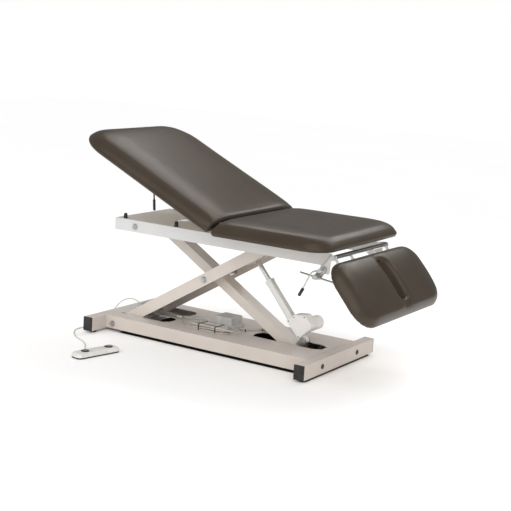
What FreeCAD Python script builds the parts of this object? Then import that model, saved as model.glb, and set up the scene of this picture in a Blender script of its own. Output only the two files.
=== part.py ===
import FreeCAD, Part
import math
import os

V = FreeCAD.Vector
os.makedirs("parts", exist_ok=True)

# Powered treatment table: a crossed pair of lift arms between a floor base and an upper frame,
# a lift drive on the foot of the inner arm, a fixed seat, a raising backrest and a drop section.
# Millimetres. X runs from the backrest end to the drop section, Y to the far side, Z up.
# Places are worked out from the arm's pivot on the base, where X is zero, with Z zero on the floor.
# Every finished piece is then moved so that X is zero at the middle of the front beam.

# Driving dimensions
arm_angle = 31.2            # degrees, both arms at the height shown
arm_lower = 610.0           # base pivot, or lower roller, to the crossing bolt
arm_upper = 458.0           # crossing bolt to the upper roller, or to the frame pivot
low_pivot_z = 44.0
base_half = 360.0           # half the length of the two floor beams
deck_start = -45.6
deck_past_roller = 180.0    # deck's front end, ahead of the lower roller's axle
deck_half = 245.0           # half the width of the base deck and of the upper frame
frame_over_roller = 34.75   # upper frame's top, above the upper roller's axle
seat_lift = 28.0            # underside of the seat's board, above the frame
board_thick = 16.0
pad_thick = 68.0            # from the underside of a board to the top of its cushion
cushion_half = 430.0
seat_start = 737.0
seat_end = 1381.0
backrest_length = 943.0
backrest_angle = 24.5       # degrees above flat, as shown
drop_start = 33.5           # from the drop hinge to the near edge of its cushion
drop_length = 357.0
drop_angle = 49.6           # degrees below flat, as shown

# Clearances
fit_gap = 0.05              # pin in its bore
side_gap = 0.3              # faces of parts that turn against one another
loose_gap = 1.0             # parts that pass with room
overrun = 5.0               # how far a cutting tool passes a face
sheet = 3.0                 # wall of every folded sheet
round_share = 0.96          # of half a width: the radius of a nearly half-round end

# Places that the arms give
arm_cos = math.cos(math.radians(arm_angle))
arm_sin = math.sin(math.radians(arm_angle))
arm_length = arm_lower + arm_upper
crossing = V(arm_lower * arm_cos, 0, low_pivot_z + arm_lower * arm_sin)
low_roller = V(2 * arm_lower * arm_cos, 0, low_pivot_z)
high_roller = V(arm_length * arm_cos, 0, low_pivot_z + arm_length * arm_sin)
frame_pivot = V((arm_lower - arm_upper) * arm_cos, 0, high_roller.z)
deck_end = low_roller.x + deck_past_roller
frame_top = high_roller.z + frame_over_roller
board_bottom = frame_top + seat_lift
pad_top = board_bottom + pad_thick
origin = V(0, 0, 0)
along_y = V(0, 1, 0)

# Floor beams' depth, which also gives the reference point: the middle of the front beam, on the floor
beam_depth = 57.0
reference_x = deck_end + beam_depth / 2


# Helpers

def save(node, *solids):
    """Write the solids of one node, measured from the reference point."""
    shape = solids[0].copy() if len(solids) == 1 else Part.makeCompound(list(solids))
    shape.translate(V(-reference_x, 0, 0))
    shape.exportStep(f"parts/{node}.step")


def block(x0, x1, y0, y1, z0, z1):
    """Box between six planes."""
    return Part.makeBox(x1 - x0, y1 - y0, z1 - z0, V(x0, y0, z0))


def bar(start, end, radius):
    """Round bar from one point to another."""
    run = end - start
    return Part.makeCylinder(radius, run.Length, start, run)


def cross_bar(x, z, y0, y1, radius):
    """Round bar across the table, from y0 to y1."""
    return bar(V(x, y0, z), V(x, y1, z), radius)


def both(shape):
    """The shape and its mirror image on the other side of the table."""
    return [shape, shape.mirror(origin, along_y)]


def rounded_wire(corners, radii):
    """Closed wire through the corners, each one replaced by a tangent arc of its radius."""
    count = len(corners)
    if not isinstance(radii, (list, tuple)):
        radii = [radii] * count
    ends = []
    for i, here in enumerate(corners):
        back = (corners[i - 1] - here).normalize()
        ahead = (corners[(i + 1) % count] - here).normalize()
        half = back.getAngle(ahead) / 2
        reach = radii[i] / math.tan(half)
        depth = radii[i] / math.sin(half) - radii[i]
        bisector = (back + ahead).normalize()
        ends.append((here + back * reach, here + bisector * depth, here + ahead * reach))
    edges = []
    for i, (first, middle, last) in enumerate(ends):
        if radii[i] > 0:
            edges.append(Part.Arc(first, middle, last).toShape())
        following = ends[(i + 1) % count][0]
        if (following - last).Length > fit_gap:
            edges.append(Part.LineSegment(last, following).toShape())
    return Part.Wire(edges)


def side_plate(points, y0, y1, radii=0):
    """Plate with an outline of (x, z) points, from y0 to y1."""
    corners = [V(x, y0, z) for x, z in points]
    return Part.Face(rounded_wire(corners, radii)).extrude(V(0, y1 - y0, 0))


def flat_plate(points, z0, z1, radii=0):
    """Plate with an outline of (x, y) points, from z0 to z1."""
    corners = [V(x, y, z0) for x, y in points]
    return Part.Face(rounded_wire(corners, radii)).extrude(V(0, 0, z1 - z0))


def rectangle(x0, x1, y0, y1):
    """The four corners of a rectangle."""
    return [(x0, y0), (x1, y0), (x1, y1), (x0, y1)]


def tilt(shape, degrees, pivot):
    """Turn about a cross axis: positive lifts what lies towards +X."""
    turned = shape.copy()
    turned.rotate(pivot, along_y, -degrees)
    return turned


def tilt_point(x, z, degrees, pivot):
    """Where the point (x, z) goes when it is turned like tilt."""
    angle = math.radians(degrees)
    dx, dz = x - pivot.x, z - pivot.z
    new_x = pivot.x + dx * math.cos(angle) - dz * math.sin(angle)
    new_z = pivot.z + dx * math.sin(angle) + dz * math.cos(angle)
    return new_x, new_z


def cord_path(points):
    """Straight runs joined by tangent arcs as large as the two runs allow; also the least radius."""
    corners = [V(*p) for p in points]
    edges = []
    least = None
    start = corners[0]
    for back, here, ahead in zip(corners, corners[1:], corners[2:]):
        into = here - back
        out = ahead - here
        turn = into.getAngle(out)
        reach = 0.45 * min(into.Length, out.Length)
        radius = reach / math.tan(turn / 2)
        least = radius if least is None else min(least, radius)
        first = here - into.normalize() * reach
        last = here + out.normalize() * reach
        bisector = (last + first - here * 2).normalize()
        middle = here + bisector * (radius / math.cos(turn / 2) - radius)
        edges.append(Part.LineSegment(start, first).toShape())
        edges.append(Part.Arc(first, middle, last).toShape())
        start = last
    edges.append(Part.LineSegment(start, corners[-1]).toShape())
    return Part.Wire(edges), least


def sweep_round(path, radius):
    """Round tube along a path of lines and arcs."""
    first = path.OrderedEdges[0]
    start = first.valueAt(first.FirstParameter)
    if (start - path.OrderedVertexes[0].Point).Length > fit_gap:
        start = path.OrderedVertexes[0].Point
    direction = first.tangentAt(first.FirstParameter)
    ring = Part.Wire(Part.makeCircle(radius, start, direction))
    return path.makePipeShell([ring], True, False)


def cord(name, points, radius):
    """Tube along the points, with its least bend radius and its volume check printed."""
    path, least = cord_path(points)
    tube = sweep_round(path, radius)
    share = tube.Volume / (math.pi * radius ** 2 * path.Length)
    print(f"{name}: length {path.Length:.0f} mm, least radius {least:.1f} mm, volume share {share:.4f}")
    return tube


# Floor beams: rectangular steel tube, closed by moulded end caps
beam_height = 76.0
foot_height = 12.0
beam_top = foot_height + beam_height
beam_round = 3.0
cap_thick = 5.0
cap_insert = 14.0
plug_y = 182.0
plug_radius = 10.0
plug_head = 13.0
plug_thick = 2.5
front_outer = deck_end + beam_depth
rear_outer = deck_start - beam_depth


def beam(x0):
    """Hollow beam across the table."""
    outer = block(x0, x0 + beam_depth, -base_half, base_half, foot_height, beam_top)
    long_edges = [e for e in outer.Edges if abs(e.tangentAt(0).y) > 0.9]
    outer = outer.makeFillet(beam_round, long_edges)
    inner = block(x0 + sheet, x0 + beam_depth - sheet, -base_half - overrun, base_half + overrun,
                  foot_height + sheet, beam_top - sheet)
    return outer.cut(inner)


def make_beams():
    front = beam(deck_end)
    plug_z = foot_height + beam_height / 2
    plugs = []
    for y in (-plug_y, plug_y):
        hole = bar(V(front_outer - sheet - overrun, y, plug_z), V(front_outer + overrun, y, plug_z),
                   plug_radius)
        front = front.cut(hole)
        stem = bar(V(front_outer - sheet - plug_thick, y, plug_z), V(front_outer, y, plug_z),
                   plug_radius - fit_gap)
        head = bar(V(front_outer, y, plug_z), V(front_outer + plug_thick, y, plug_z), plug_head)
        plugs.append(stem.fuse(head))
    save("front_beam", front)
    save("rear_beam", beam(rear_outer))
    caps = []
    for x0 in (deck_end, rear_outer):
        plate = block(x0, x0 + beam_depth, base_half, base_half + cap_thick, foot_height, beam_top)
        plate = plate.makeFillet(beam_round, [e for e in plate.Edges if abs(e.tangentAt(0).y) > 0.9])
        inset = sheet + fit_gap
        insert = block(x0 + inset, x0 + beam_depth - inset, base_half - cap_insert, base_half,
                       foot_height + inset, beam_top - inset)
        caps += both(plate.fuse(insert))
    save("beam_caps", *(caps + plugs))


# What the beams stand on: a rubber runner in front and two levelling feet behind
runner_width = 46.0
runner_inset = 18.0         # from the beam's end to the runner's
foot_inset = 42.0           # and to the foot's middle
runner_half = base_half - runner_inset
foot_y = base_half - foot_inset
foot_radius = 19.0
foot_disc = 7.0
foot_stem = 6.0


def make_feet():
    half = runner_width / 2
    runner = flat_plate(rectangle(reference_x - half, reference_x + half, -runner_half, runner_half),
                        0, foot_height, half * round_share)
    x = rear_outer + beam_depth / 2
    profile = [V(0, foot_y, 0), V(foot_radius, foot_y, 0), V(foot_radius, foot_y, foot_disc * 0.6),
               V(foot_stem * 1.6, foot_y, foot_disc), V(foot_stem, foot_y, foot_height),
               V(0, foot_y, foot_height)]
    foot = Part.Face(Part.makePolygon(profile + profile[:1])).revolve(V(0, foot_y, 0), V(0, 0, 1), 360)
    foot.translate(V(x, 0, 0))
    save("base_feet", *([runner] + both(foot)))


# Base deck: folded tray with side skirts, cut out where the arms reach below it
skirt_depth = 70.0
side_room = 95.0            # between the outer arm's side and the deck's, for rollers and tracks
arm_room = 6.0
outer_half = deck_half - side_room
opening_far = outer_half + arm_room     # outer edge of the outer arm's openings, from the middle
strip_near = 40.0           # edges of the strip between them that carries the cables
strip_far = 36.0
opening_start = 50.0
opening_end = 300.0
opening_taper = 30.0
slit_start = -14.0          # the arm's flanges reach on as two slits
slit_width = 17.0
slot_start = 772.0          # slot that the inner arm's foot travels in
slot_margin = 36.5          # deck left in front of the slot
slot_end = deck_end - slot_margin
slot_half = 55.0
slot_nose = 18.0            # its ends narrow over these lengths
slot_taper = 42.0
pivot_radius = 10.0


def make_deck():
    tray = block(deck_start, deck_end, -deck_half, deck_half, beam_top - skirt_depth, beam_top)
    inside = block(deck_start - overrun, deck_end + overrun, -deck_half + sheet, deck_half - sheet,
                   beam_top - skirt_depth - overrun, beam_top - sheet)
    tray = tray.cut(inside)
    z0, z1 = beam_top - sheet - overrun, beam_top + overrun
    for side, inner in ((-1, strip_near), (1, strip_far)):
        outline = [(opening_start, side * inner), (opening_end - opening_taper, side * inner),
                   (opening_end, side * (inner + opening_taper)),
                   (opening_end, side * (opening_far - opening_taper)),
                   (opening_end - opening_taper, side * opening_far), (slit_start, side * opening_far),
                   (slit_start, side * (opening_far - slit_width)),
                   (opening_start, side * (opening_far - slit_width))]
        tray = tray.cut(flat_plate(outline, z0, z1))
    slot = [(slot_start, slot_half / 3), (slot_start, -slot_half / 3), (slot_start + slot_nose, -slot_half),
            (slot_end - slot_taper, -slot_half), (slot_end, -slot_half / 2), (slot_end, slot_half / 2),
            (slot_end - slot_taper, slot_half), (slot_start + slot_nose, slot_half)]
    tray = tray.cut(flat_plate(slot, z0, z1))
    tray = tray.cut(cross_bar(0, low_pivot_z, -deck_half - overrun, deck_half + overrun,
                              pivot_radius + fit_gap))
    save("deck_tray", tray)


# Pivot shafts: a through bar with hex heads and washers outside, sleeves inside
head_across = 24.0
head_thick = 7.0
washer_radius = 17.0
washer_thick = 2.0
sleeve_radius = 15.0


def hexagon(x, z, y0, y1, across):
    """Hexagonal head, flat to flat across."""
    corner = across / math.sqrt(3)
    points = [(x + corner * math.cos(math.radians(60 * k)), z + corner * math.sin(math.radians(60 * k)))
              for k in range(6)]
    return side_plate(points, y0, y1)


def through_bolt(x, z, half, radius, across=head_across):
    """Shaft from side to side with a washer and a head against each outer face."""
    shaft = cross_bar(x, z, -half, half, radius)
    scale = radius / pivot_radius
    for y, side in ((half, 1), (-half, -1)):
        ends = sorted((y, y + side * washer_thick))
        shaft = shaft.fuse(cross_bar(x, z, ends[0], ends[1], washer_radius * scale))
        ends = sorted((y + side * washer_thick, y + side * (washer_thick + head_thick)))
        shaft = shaft.fuse(hexagon(x, z, ends[0], ends[1], across))
    return shaft


def sleeve(x, z, y0, y1, outer, bore):
    """Spacer tube on a shaft."""
    return cross_bar(x, z, y0, y1, outer).cut(cross_bar(x, z, y0 - overrun, y1 + overrun, bore))


# Outer arm: one folded channel, open below, with the inner arm passing through its web
outer_wall = 4.5
arm_depth = 61.0
web_start = 90.0
web_inset = 25.0            # web's end, back from the upper roller
web_end = arm_length - web_inset
web_cut_before = 100.0
web_cut_after = 35.0
web_cut_half = 50.0
crossing_radius = 11.0
high_axle_radius = 9.0
rod_back = 201.0            # lift drive's upper pin, back from the upper roller
rod_seat = arm_length - rod_back
rod_wander = 30.0           # how far the pin works along the arm
rod_lift = 4.0              # and across it
rod_pin_radius = 7.0
lug_thick = 6.0
lug_room = 1.5              # between each lug and the drive's collar, which goes in between them
lug_reach = 54.0
lug_depth = 47.0


def lug_face():
    """Inner face of each lug, from the middle."""
    return guide_width / 2 + collar_grow + lug_room


def make_outer_arm():
    half = arm_depth / 2
    end_round = half - loose_gap / 2
    cheek = side_plate([(-half, -half), (arm_length + half, -half), (arm_length + half, half),
                        (-half, half)], -outer_half, -outer_half + outer_wall, end_round)
    web = block(web_start, web_end, -outer_half, outer_half, half - outer_wall, half)
    arm = cheek.fuse(cheek.mirror(origin, along_y)).fuse(web)
    arm = arm.cut(block(arm_lower - web_cut_before, arm_lower + web_cut_after, -web_cut_half,
                        web_cut_half, half - outer_wall - overrun, half + overrun))
    for place, radius in ((0, pivot_radius), (arm_lower, crossing_radius), (arm_length, high_axle_radius)):
        arm = arm.cut(cross_bar(place, 0, -outer_half - overrun, outer_half + overrun, radius + fit_gap))
    base_pivot = V(0, 0, low_pivot_z)

    def set_up(shape):
        shape.translate(base_pivot)
        return tilt(shape, arm_angle, base_pivot)

    save("outer_arm", set_up(arm.removeSplitter()))
    top = half - outer_wall
    lug_half = lug_face()
    slot_half_length = rod_wander + rod_pin_radius + loose_gap
    slot_half_height = rod_lift + rod_pin_radius + loose_gap
    lugs = []
    for y in (lug_half, -lug_half - lug_thick):
        plate = side_plate([(rod_seat - lug_reach, top - lug_depth), (rod_seat + lug_reach, top - lug_depth),
                            (rod_seat + lug_reach, top), (rod_seat - lug_reach, top)],
                           y, y + lug_thick, (lug_thick * 2, lug_thick * 2, 0, 0))
        window = side_plate(rectangle(rod_seat - slot_half_length, rod_seat + slot_half_length,
                                      -slot_half_height, slot_half_height),
                            y - overrun, y + lug_thick + overrun, slot_half_height * round_share)
        lugs.append(set_up(plate.cut(window)))
    save("rod_lugs", *lugs)


# Inner arm: rectangular tube, pivoted on the upper frame and running on two rollers in the base
inner_half = 41.0
inner_depth = 52.0
inner_wall = 3.0
inner_tail = 24.0
low_axle_radius = 13.0
low_journal_radius = 10.0
roller_radius = 22.0
low_roller_width = 28.0
track_room = 7.0            # from the lower roller's outer face to the deck's side
low_roller_face = deck_half - track_room - low_roller_width
high_roller_width = 26.0


def make_inner_arm():
    half = inner_depth / 2
    outline = [(-half, -half), (arm_length + inner_tail, -half), (arm_length + inner_tail, half),
               (-half, half)]
    radii = (half * round_share, half * 0.8, half * 0.5, half * round_share)
    tube = side_plate(outline, -inner_half, inner_half, radii)
    hollow = block(half, arm_length - half, -inner_half + inner_wall, inner_half - inner_wall,
                   -half + inner_wall, half - inner_wall)
    tube = tube.cut(hollow)
    for place, radius in ((0, pivot_radius), (arm_upper, crossing_radius), (arm_length, low_axle_radius)):
        tube = tube.cut(cross_bar(place, 0, -inner_half - overrun, inner_half + overrun, radius + fit_gap))
    save("inner_arm", place_inner(tube))
    x, z = low_roller.x, low_roller.z
    end = low_roller_face + low_roller_width + loose_gap
    axle = cross_bar(x, z, -low_roller_face + side_gap, low_roller_face - side_gap, low_axle_radius)
    axle = axle.fuse(cross_bar(x, z, -end, end, low_journal_radius))
    save("lower_roller_axle", axle)


def place_inner(shape):
    """From the inner arm's own frame, along +X from the frame pivot, to its place."""
    shape.translate(frame_pivot)
    return tilt(shape, -arm_angle, frame_pivot)


def make_crossing():
    """Bolt through the crossing, with spacer sleeves between the arms."""
    x, z = crossing.x, crossing.z
    sleeves = both(sleeve(x, z, inner_half + side_gap, outer_half - outer_wall, sleeve_radius,
                          crossing_radius + fit_gap))
    save("crossing_bolt", through_bolt(x, z, outer_half, crossing_radius), *sleeves)


def make_base_pivot():
    sleeves = both(sleeve(0, low_pivot_z, outer_half + side_gap, deck_half - sheet, sleeve_radius,
                          pivot_radius + fit_gap))
    save("base_pivot_shaft", through_bolt(0, low_pivot_z, deck_half, pivot_radius), *sleeves)


def make_frame_pivot():
    x, z = frame_pivot.x, frame_pivot.z
    sleeves = both(sleeve(x, z, inner_half + side_gap, deck_half - sheet, sleeve_radius,
                          pivot_radius + fit_gap))
    save("frame_pivot_shaft", through_bolt(x, z, deck_half, pivot_radius), *sleeves)


# Rollers and the tracks that they run in
roller_groove = 1.5


def roller(x, z, y0, width, bore):
    """Turned roller with rounded rims, on its axle."""
    r = roller_radius
    c = roller_groove
    profile = [V(x + bore, y0, z), V(x + r - c, y0, z), V(x + r, y0 + c, z), V(x + r, y0 + width - c, z),
               V(x + r - c, y0 + width, z), V(x + bore, y0 + width, z)]
    return Part.Face(Part.makePolygon(profile + profile[:1])).revolve(V(x, 0, z), along_y, 360)


def make_rollers():
    low = roller(low_roller.x, low_roller.z, low_roller_face, low_roller_width,
                 low_journal_radius + fit_gap)
    high = roller(high_roller.x, high_roller.z, outer_half + side_gap, high_roller_width,
                  high_axle_radius + fit_gap)
    for name, shape in (("lower_roller", low), ("upper_roller", high)):
        far, near = both(shape)
        save(name + "_far", far)
        save(name + "_near", near)
    end = outer_half + side_gap + high_roller_width + loose_gap
    save("upper_roller_axle", cross_bar(high_roller.x, high_roller.z, -end, end, high_axle_radius))


low_track_back = 201.5      # how far each track runs on behind its roller
high_track_back = 161.5
high_track_fore = 116.5     # and in front of it
low_track_start = low_roller.x - low_track_back
low_track_end = slot_end - sheet
high_track_start = high_roller.x - high_track_back
high_track_end = high_roller.x + high_track_fore


def track(x0, x1, y_open, y_back, axis_z, top_z):
    """C section round a roller, open towards the middle, its back carried up to top_z."""
    low = axis_z - roller_radius - side_gap
    high = axis_z + roller_radius + side_gap
    shape = block(x0, x1, y_open, y_back, low - sheet, low)
    shape = shape.fuse(block(x0, x1, y_open, y_back, high, high + sheet))
    return shape.fuse(block(x0, x1, y_back - sheet, y_back, low - sheet, top_z)).removeSplitter()


def make_tracks():
    low = track(low_track_start, low_track_end, low_roller_face, deck_half - sheet, low_roller.z,
                beam_top - sheet)
    save("base_roller_tracks", *both(low))
    back = outer_half + high_roller_width + loose_gap * 3 + sheet
    high = track(high_track_start, high_track_end, outer_half + loose_gap * 3, back, high_roller.z,
                 frame_top - sheet)
    save("frame_roller_tracks", *both(high))


# Lift drive: gear housing with its motor across the table, guide tube, and a sliding tube inside it
drive_s = 10.0              # lower pin, back along the inner arm from the roller
drive_n = 69.4              # and above its middle
drive_pin_radius = 7.0
housing_half = 34.0
motor_radius = 37.0
motor_along = 57.0
motor_across = 58.0
motor_far = 118.0
guide_start = 122.0
guide_end = 367.0
guide_width = 42.0
guide_depth = 38.0
collar_length = 14.0
collar_grow = 2.0
slide_radius = 12.5
slide_tail = 225.0
eye_radius = 15.0
eye_half = 15.0
clevis_thick = 6.0
clevis_round = 15.0


def drive_pin():
    """Lower pin of the lift drive."""
    p = V(arm_length - drive_s, 0, drive_n)
    x, z = tilt_point(frame_pivot.x + p.x, frame_pivot.z + p.z, -arm_angle, frame_pivot)
    return V(x, 0, z)


def drive_top():
    """Upper pin of the lift drive, inside the outer arm's channel."""
    return V(rod_seat * arm_cos, 0, low_pivot_z + rod_seat * arm_sin)


def place_drive(shape):
    """From the drive's own frame, along +X from its lower pin, to its place."""
    low, top = drive_pin(), drive_top()
    angle = math.degrees(math.atan2(top.z - low.z, top.x - low.x))
    shape.translate(low)
    return tilt(shape, angle, low)


def make_drive():
    reach = (drive_top() - drive_pin()).Length
    # the housing lies above the pin, its boss between the clevis plates
    low, high, span = motor_along - motor_radius, guide_start + clevis_round, motor_across + motor_radius
    outline = [(low, clevis_round), (low + clevis_thick, -span), (high - motor_radius, -span),
               (high, -guide_width), (high, guide_depth / 2 - sheet), (high - clevis_round, guide_depth / 2)]
    body = side_plate(outline, -housing_half, housing_half,
                      (clevis_thick, motor_radius * 0.8, motor_radius * 0.6, clevis_round, clevis_thick,
                       clevis_thick))
    rim = [e for e in body.Edges if abs(abs(e.CenterOfMass.y) - housing_half) < fit_gap]
    body = body.makeFillet(clevis_thick, rim)
    boss = side_plate(rectangle(-clevis_round, low + motor_radius / 2, -clevis_round, clevis_round),
                      -eye_half, eye_half, (clevis_round * round_share, 0, 0, clevis_round * round_share))
    body = body.fuse(boss)
    body = body.cut(cross_bar(0, 0, -housing_half - overrun, housing_half + overrun,
                              drive_pin_radius + fit_gap))
    body = body.cut(bar(V(low + motor_radius, 0, 0), V(high + overrun, 0, 0), slide_radius + loose_gap))
    save("drive_housing", place_drive(body))
    motor = cross_bar(motor_along, -motor_across, housing_half, motor_far, motor_radius)
    motor = motor.makeFillet(clevis_round, [e for e in motor.Edges if e.CenterOfMass.y > motor_far - fit_gap])
    plinth = cross_bar(motor_along, -motor_across, -housing_half - sheet, -housing_half, motor_radius * 0.7)
    save("drive_motor", place_drive(motor), place_drive(plinth))

    def rounded_tube(x0, x1, grow):
        y, z = guide_width / 2 + grow, guide_depth / 2 + grow
        corners = [V(x0, -y, -z), V(x0, y, -z), V(x0, y, z), V(x0, -y, z)]
        solid = Part.Face(rounded_wire(corners, guide_depth / 4)).extrude(V(x1 - x0, 0, 0))
        return solid.cut(bar(V(x0 - overrun, 0, 0), V(x1 + overrun, 0, 0), slide_radius + fit_gap))

    guide = rounded_tube(high, guide_end - collar_length, 0)
    collar = rounded_tube(guide_end - collar_length, guide_end, collar_grow)
    save("drive_guide_tube", place_drive(guide), place_drive(collar))
    slide = bar(V(slide_tail, 0, 0), V(reach - eye_radius * 0.6, 0, 0), slide_radius)
    top_eye_half = lug_face() - loose_gap
    eye = cross_bar(reach, 0, -top_eye_half, top_eye_half, eye_radius)
    pin_half = lug_face() + lug_thick + loose_gap
    pin = cross_bar(reach, 0, -pin_half, pin_half, rod_pin_radius)
    slide = slide.fuse(eye).fuse(pin)
    for side in (-1, 1):
        ends = sorted((side * pin_half, side * (pin_half + sheet)))
        slide = slide.fuse(cross_bar(reach, 0, ends[0], ends[1], rod_pin_radius + rod_lift * 2))
    save("drive_slide", place_drive(slide))


def make_clevis():
    """Two plates on the inner arm's foot that hold the drive's lower pin."""
    x, top = arm_length - drive_s, inner_depth / 2
    foot = clevis_round * 1.7
    plates = []
    for y in (eye_half + side_gap, -eye_half - side_gap - clevis_thick):
        outline = [(x - foot, top), (x + foot, top), (x + clevis_round, drive_n + clevis_round),
                   (x - clevis_round, drive_n + clevis_round)]
        plate = side_plate(outline, y, y + clevis_thick, (0, 0, clevis_round * 0.9, clevis_round * 0.9))
        plates.append(place_inner(plate))
    half = eye_half + side_gap + clevis_thick
    pin = cross_bar(x, drive_n, -half - head_thick / 2, half + head_thick / 2, drive_pin_radius)
    for side in (-1, 1):
        ends = sorted((side * half, side * (half + head_thick / 2)))
        pin = pin.fuse(cross_bar(x, drive_n, ends[0], ends[1], drive_pin_radius + sheet))
    pin = place_inner(pin)
    plates = [plate.cut(pin) for plate in plates]
    save("drive_clevis", plates[0], plates[1], pin)


# Upper frame: folded tray turned down, with openings in its top
frame_depth = 64.0
frame_tail = 135.0          # frame's back end, behind its pivot
frame_short = 102.0         # frame's front end, behind the drop hinge
drop_hinge_back = 29.0      # drop hinge, back from the seat's end
drop_hinge_sink = 11.5      # and below the frame's top
frame_start = frame_pivot.x - frame_tail
drop_hinge = V(seat_end - drop_hinge_back, 0, frame_top - drop_hinge_sink)
frame_end = drop_hinge.x - frame_short
window_start = 239.0
window_end = 335.0
window_y = -28.0
window_half = 38.0
window_taper_share = 0.7
hinge_gap = 4.0             # half the gap between the seat's and the backrest's cushions
hinge_sink = 20.0           # hinge axis below the cushions' tops
hinge_axis = V(seat_start - hinge_gap, 0, pad_top - hinge_sink)
crank_inset = 33.0          # crank's middle, in from the frame's side
crank_back = 111.0          # room for its swing, behind the hinge axis
crank_fore = 99.0           # and in front of it
crank_y = deck_half - crank_inset
crank_start = hinge_axis.x - crank_back
crank_end = hinge_axis.x + crank_fore
crank_opening_half = 28.0
end_hole = 9.0


def make_top_frame():
    low = frame_top - frame_depth
    tray = block(frame_start, frame_end, -deck_half, deck_half, low, frame_top)
    tray = tray.makeFillet(sheet, [e for e in tray.Edges if e.CenterOfMass.z > frame_top - fit_gap])
    inside = block(frame_start + sheet, frame_end + overrun, -deck_half + sheet, deck_half - sheet,
                   low - overrun, frame_top - sheet)
    tray = tray.cut(inside)
    z0, z1 = frame_top - sheet - overrun, frame_top + overrun
    narrow = window_half * window_taper_share
    window = flat_plate([(window_start, window_y - window_half), (window_end, window_y - narrow),
                         (window_end, window_y + narrow), (window_start, window_y + window_half)],
                        z0, z1, end_hole / 2)
    passage = flat_plate(rectangle(crank_start, crank_end, crank_y - crank_opening_half,
                                   crank_y + crank_opening_half), z0, z1, end_hole)
    tray = tray.cut(window).cut(passage)
    tray = tray.cut(bar(V(frame_start - overrun, 0, low + frame_depth / 2),
                        V(frame_start + sheet + overrun, 0, low + frame_depth / 2), end_hole))
    tray = tray.cut(cross_bar(frame_pivot.x, frame_pivot.z, -deck_half - overrun, deck_half + overrun,
                              pivot_radius + fit_gap))
    save("top_frame", tray)


# Ears: the frame's side panels run on past the tray, step outwards along a slanting fold
# and carry the drop section's hinge bolts and the clamp's bolt
ear_step = 30.0             # how far the ears step out
ear_half = deck_half + ear_step
fold_run = 18.0
drop_bolt_radius = 6.0
clamp_back = 49.0           # clamp's bolt, back from the drop hinge
clamp_below = 62.5          # and below it
clamp_hub = V(drop_hinge.x - clamp_back, 0, drop_hinge.z - clamp_below)
clamp_bolt_radius = 6.0
clamp_bolt_reach = 55.0
clamp_bolt_end = ear_half + clamp_bolt_reach
ear_depth = 98.0            # from the frame's top to the ear's lower edge
ear_heel = 77.0             # its back edge, behind the drop hinge
ear_waist = 19.0            # its front edge below the hinge, behind it
ear_reach = 16.0            # and its nose, in front of it
ear_low = frame_top - ear_depth
ear_back = drop_hinge.x - ear_heel
ear_front = drop_hinge.x - ear_waist
ear_nose = drop_hinge.x + ear_reach
ear_round = 10.0
bolt_head = 9.0
bolt_head_thick = 5.0


def make_ears():
    low = frame_top - frame_depth
    fold = V(drop_hinge.x - clamp_hub.x, 0, frame_top - low).normalize()
    out = V(fold.z, 0, -fold.x)
    start = V(ear_back - sheet, 0, low + sheet)

    def at(p, y):
        return start - fold * frame_depth * 2 + out * p + V(0, -y, 0)

    inner, outer = deck_half, ear_half
    reach = frame_depth * 2
    profile = [at(-reach, inner), at(0, inner), at(fold_run, outer), at(reach, outer),
               at(reach, outer - sheet), at(fold_run, outer - sheet), at(0, inner - sheet),
               at(-reach, inner - sheet)]
    bent = Part.Face(Part.makePolygon(profile + profile[:1])).extrude(fold * frame_depth * 5)
    outline = [(frame_end, frame_top), (frame_end, low), (ear_back - ear_round, low),
               (ear_back, ear_low), (ear_front, ear_low), (ear_front + sheet, drop_hinge.z - fold_run),
               (ear_nose, drop_hinge.z - ear_round * 1.4), (ear_nose - sheet, frame_top)]
    cutter = side_plate(outline, -ear_half - overrun, -deck_half + sheet + overrun,
                        (0, 0, 0, ear_round, ear_round, ear_round, ear_round, ear_round * 0.9))
    ear = bent.common(cutter)
    holes = [cross_bar(drop_hinge.x, drop_hinge.z, -ear_half - overrun, -deck_half, drop_bolt_radius)]
    far = ear.cut(holes[0]).mirror(origin, along_y)
    near = ear.cut(holes[0]).cut(cross_bar(clamp_hub.x, clamp_hub.z, -ear_half - overrun, -deck_half,
                                           clamp_bolt_radius))
    save("frame_ears", near, far)
    grip = drop_end_plug + sheet
    bolt = cross_bar(drop_hinge.x, drop_hinge.z, ear_half - grip - sheet, ear_half, drop_bolt_radius)
    bolt = bolt.fuse(cross_bar(drop_hinge.x, drop_hinge.z, ear_half, ear_half + bolt_head_thick, bolt_head))
    clamp_bolt = cross_bar(clamp_hub.x, clamp_hub.z, -clamp_bolt_end, -ear_half + sheet, clamp_bolt_radius)
    clamp_bolt = clamp_bolt.fuse(cross_bar(clamp_hub.x, clamp_hub.z, -ear_half + sheet,
                                           -ear_half + sheet + bolt_head_thick, bolt_head))
    save("ear_bolts", *(both(bolt) + [clamp_bolt]))


# Bumpers that the lowered backrest lies on, and posts that carry the seat
bumper_room = 0.5           # left under the lowered backrest
bumper_height = seat_lift - bumper_room
bumper_radius = 11.0
bumper_inset = 17.0
bumper_y = deck_half - bumper_inset
bumper_steps = (55.0, 391.0)        # from the frame's back end
post_radius = 12.0
post_y = 120.0
post_inset = 60.0


def make_rests():
    bumpers = []
    for x in [frame_start + step for step in bumper_steps]:
        r = bumper_radius
        profile = [V(0, 0, 0), V(r, 0, 0), V(r * 0.85, 0, bumper_height * 0.8), V(r * 0.6, 0, bumper_height),
                   V(0, 0, bumper_height)]
        shape = Part.Face(Part.makePolygon(profile + profile[:1])).revolve(origin, V(0, 0, 1), 360)
        shape.translate(V(x, bumper_y, frame_top))
        bumpers += both(shape)
    save("backrest_bumpers", *bumpers)
    posts = []
    for x in (seat_start + post_inset * 2, frame_end - post_inset):
        posts += both(bar(V(x, post_y, frame_top), V(x, post_y, board_bottom),
                          post_radius))
    save("seat_posts", *posts)


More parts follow.
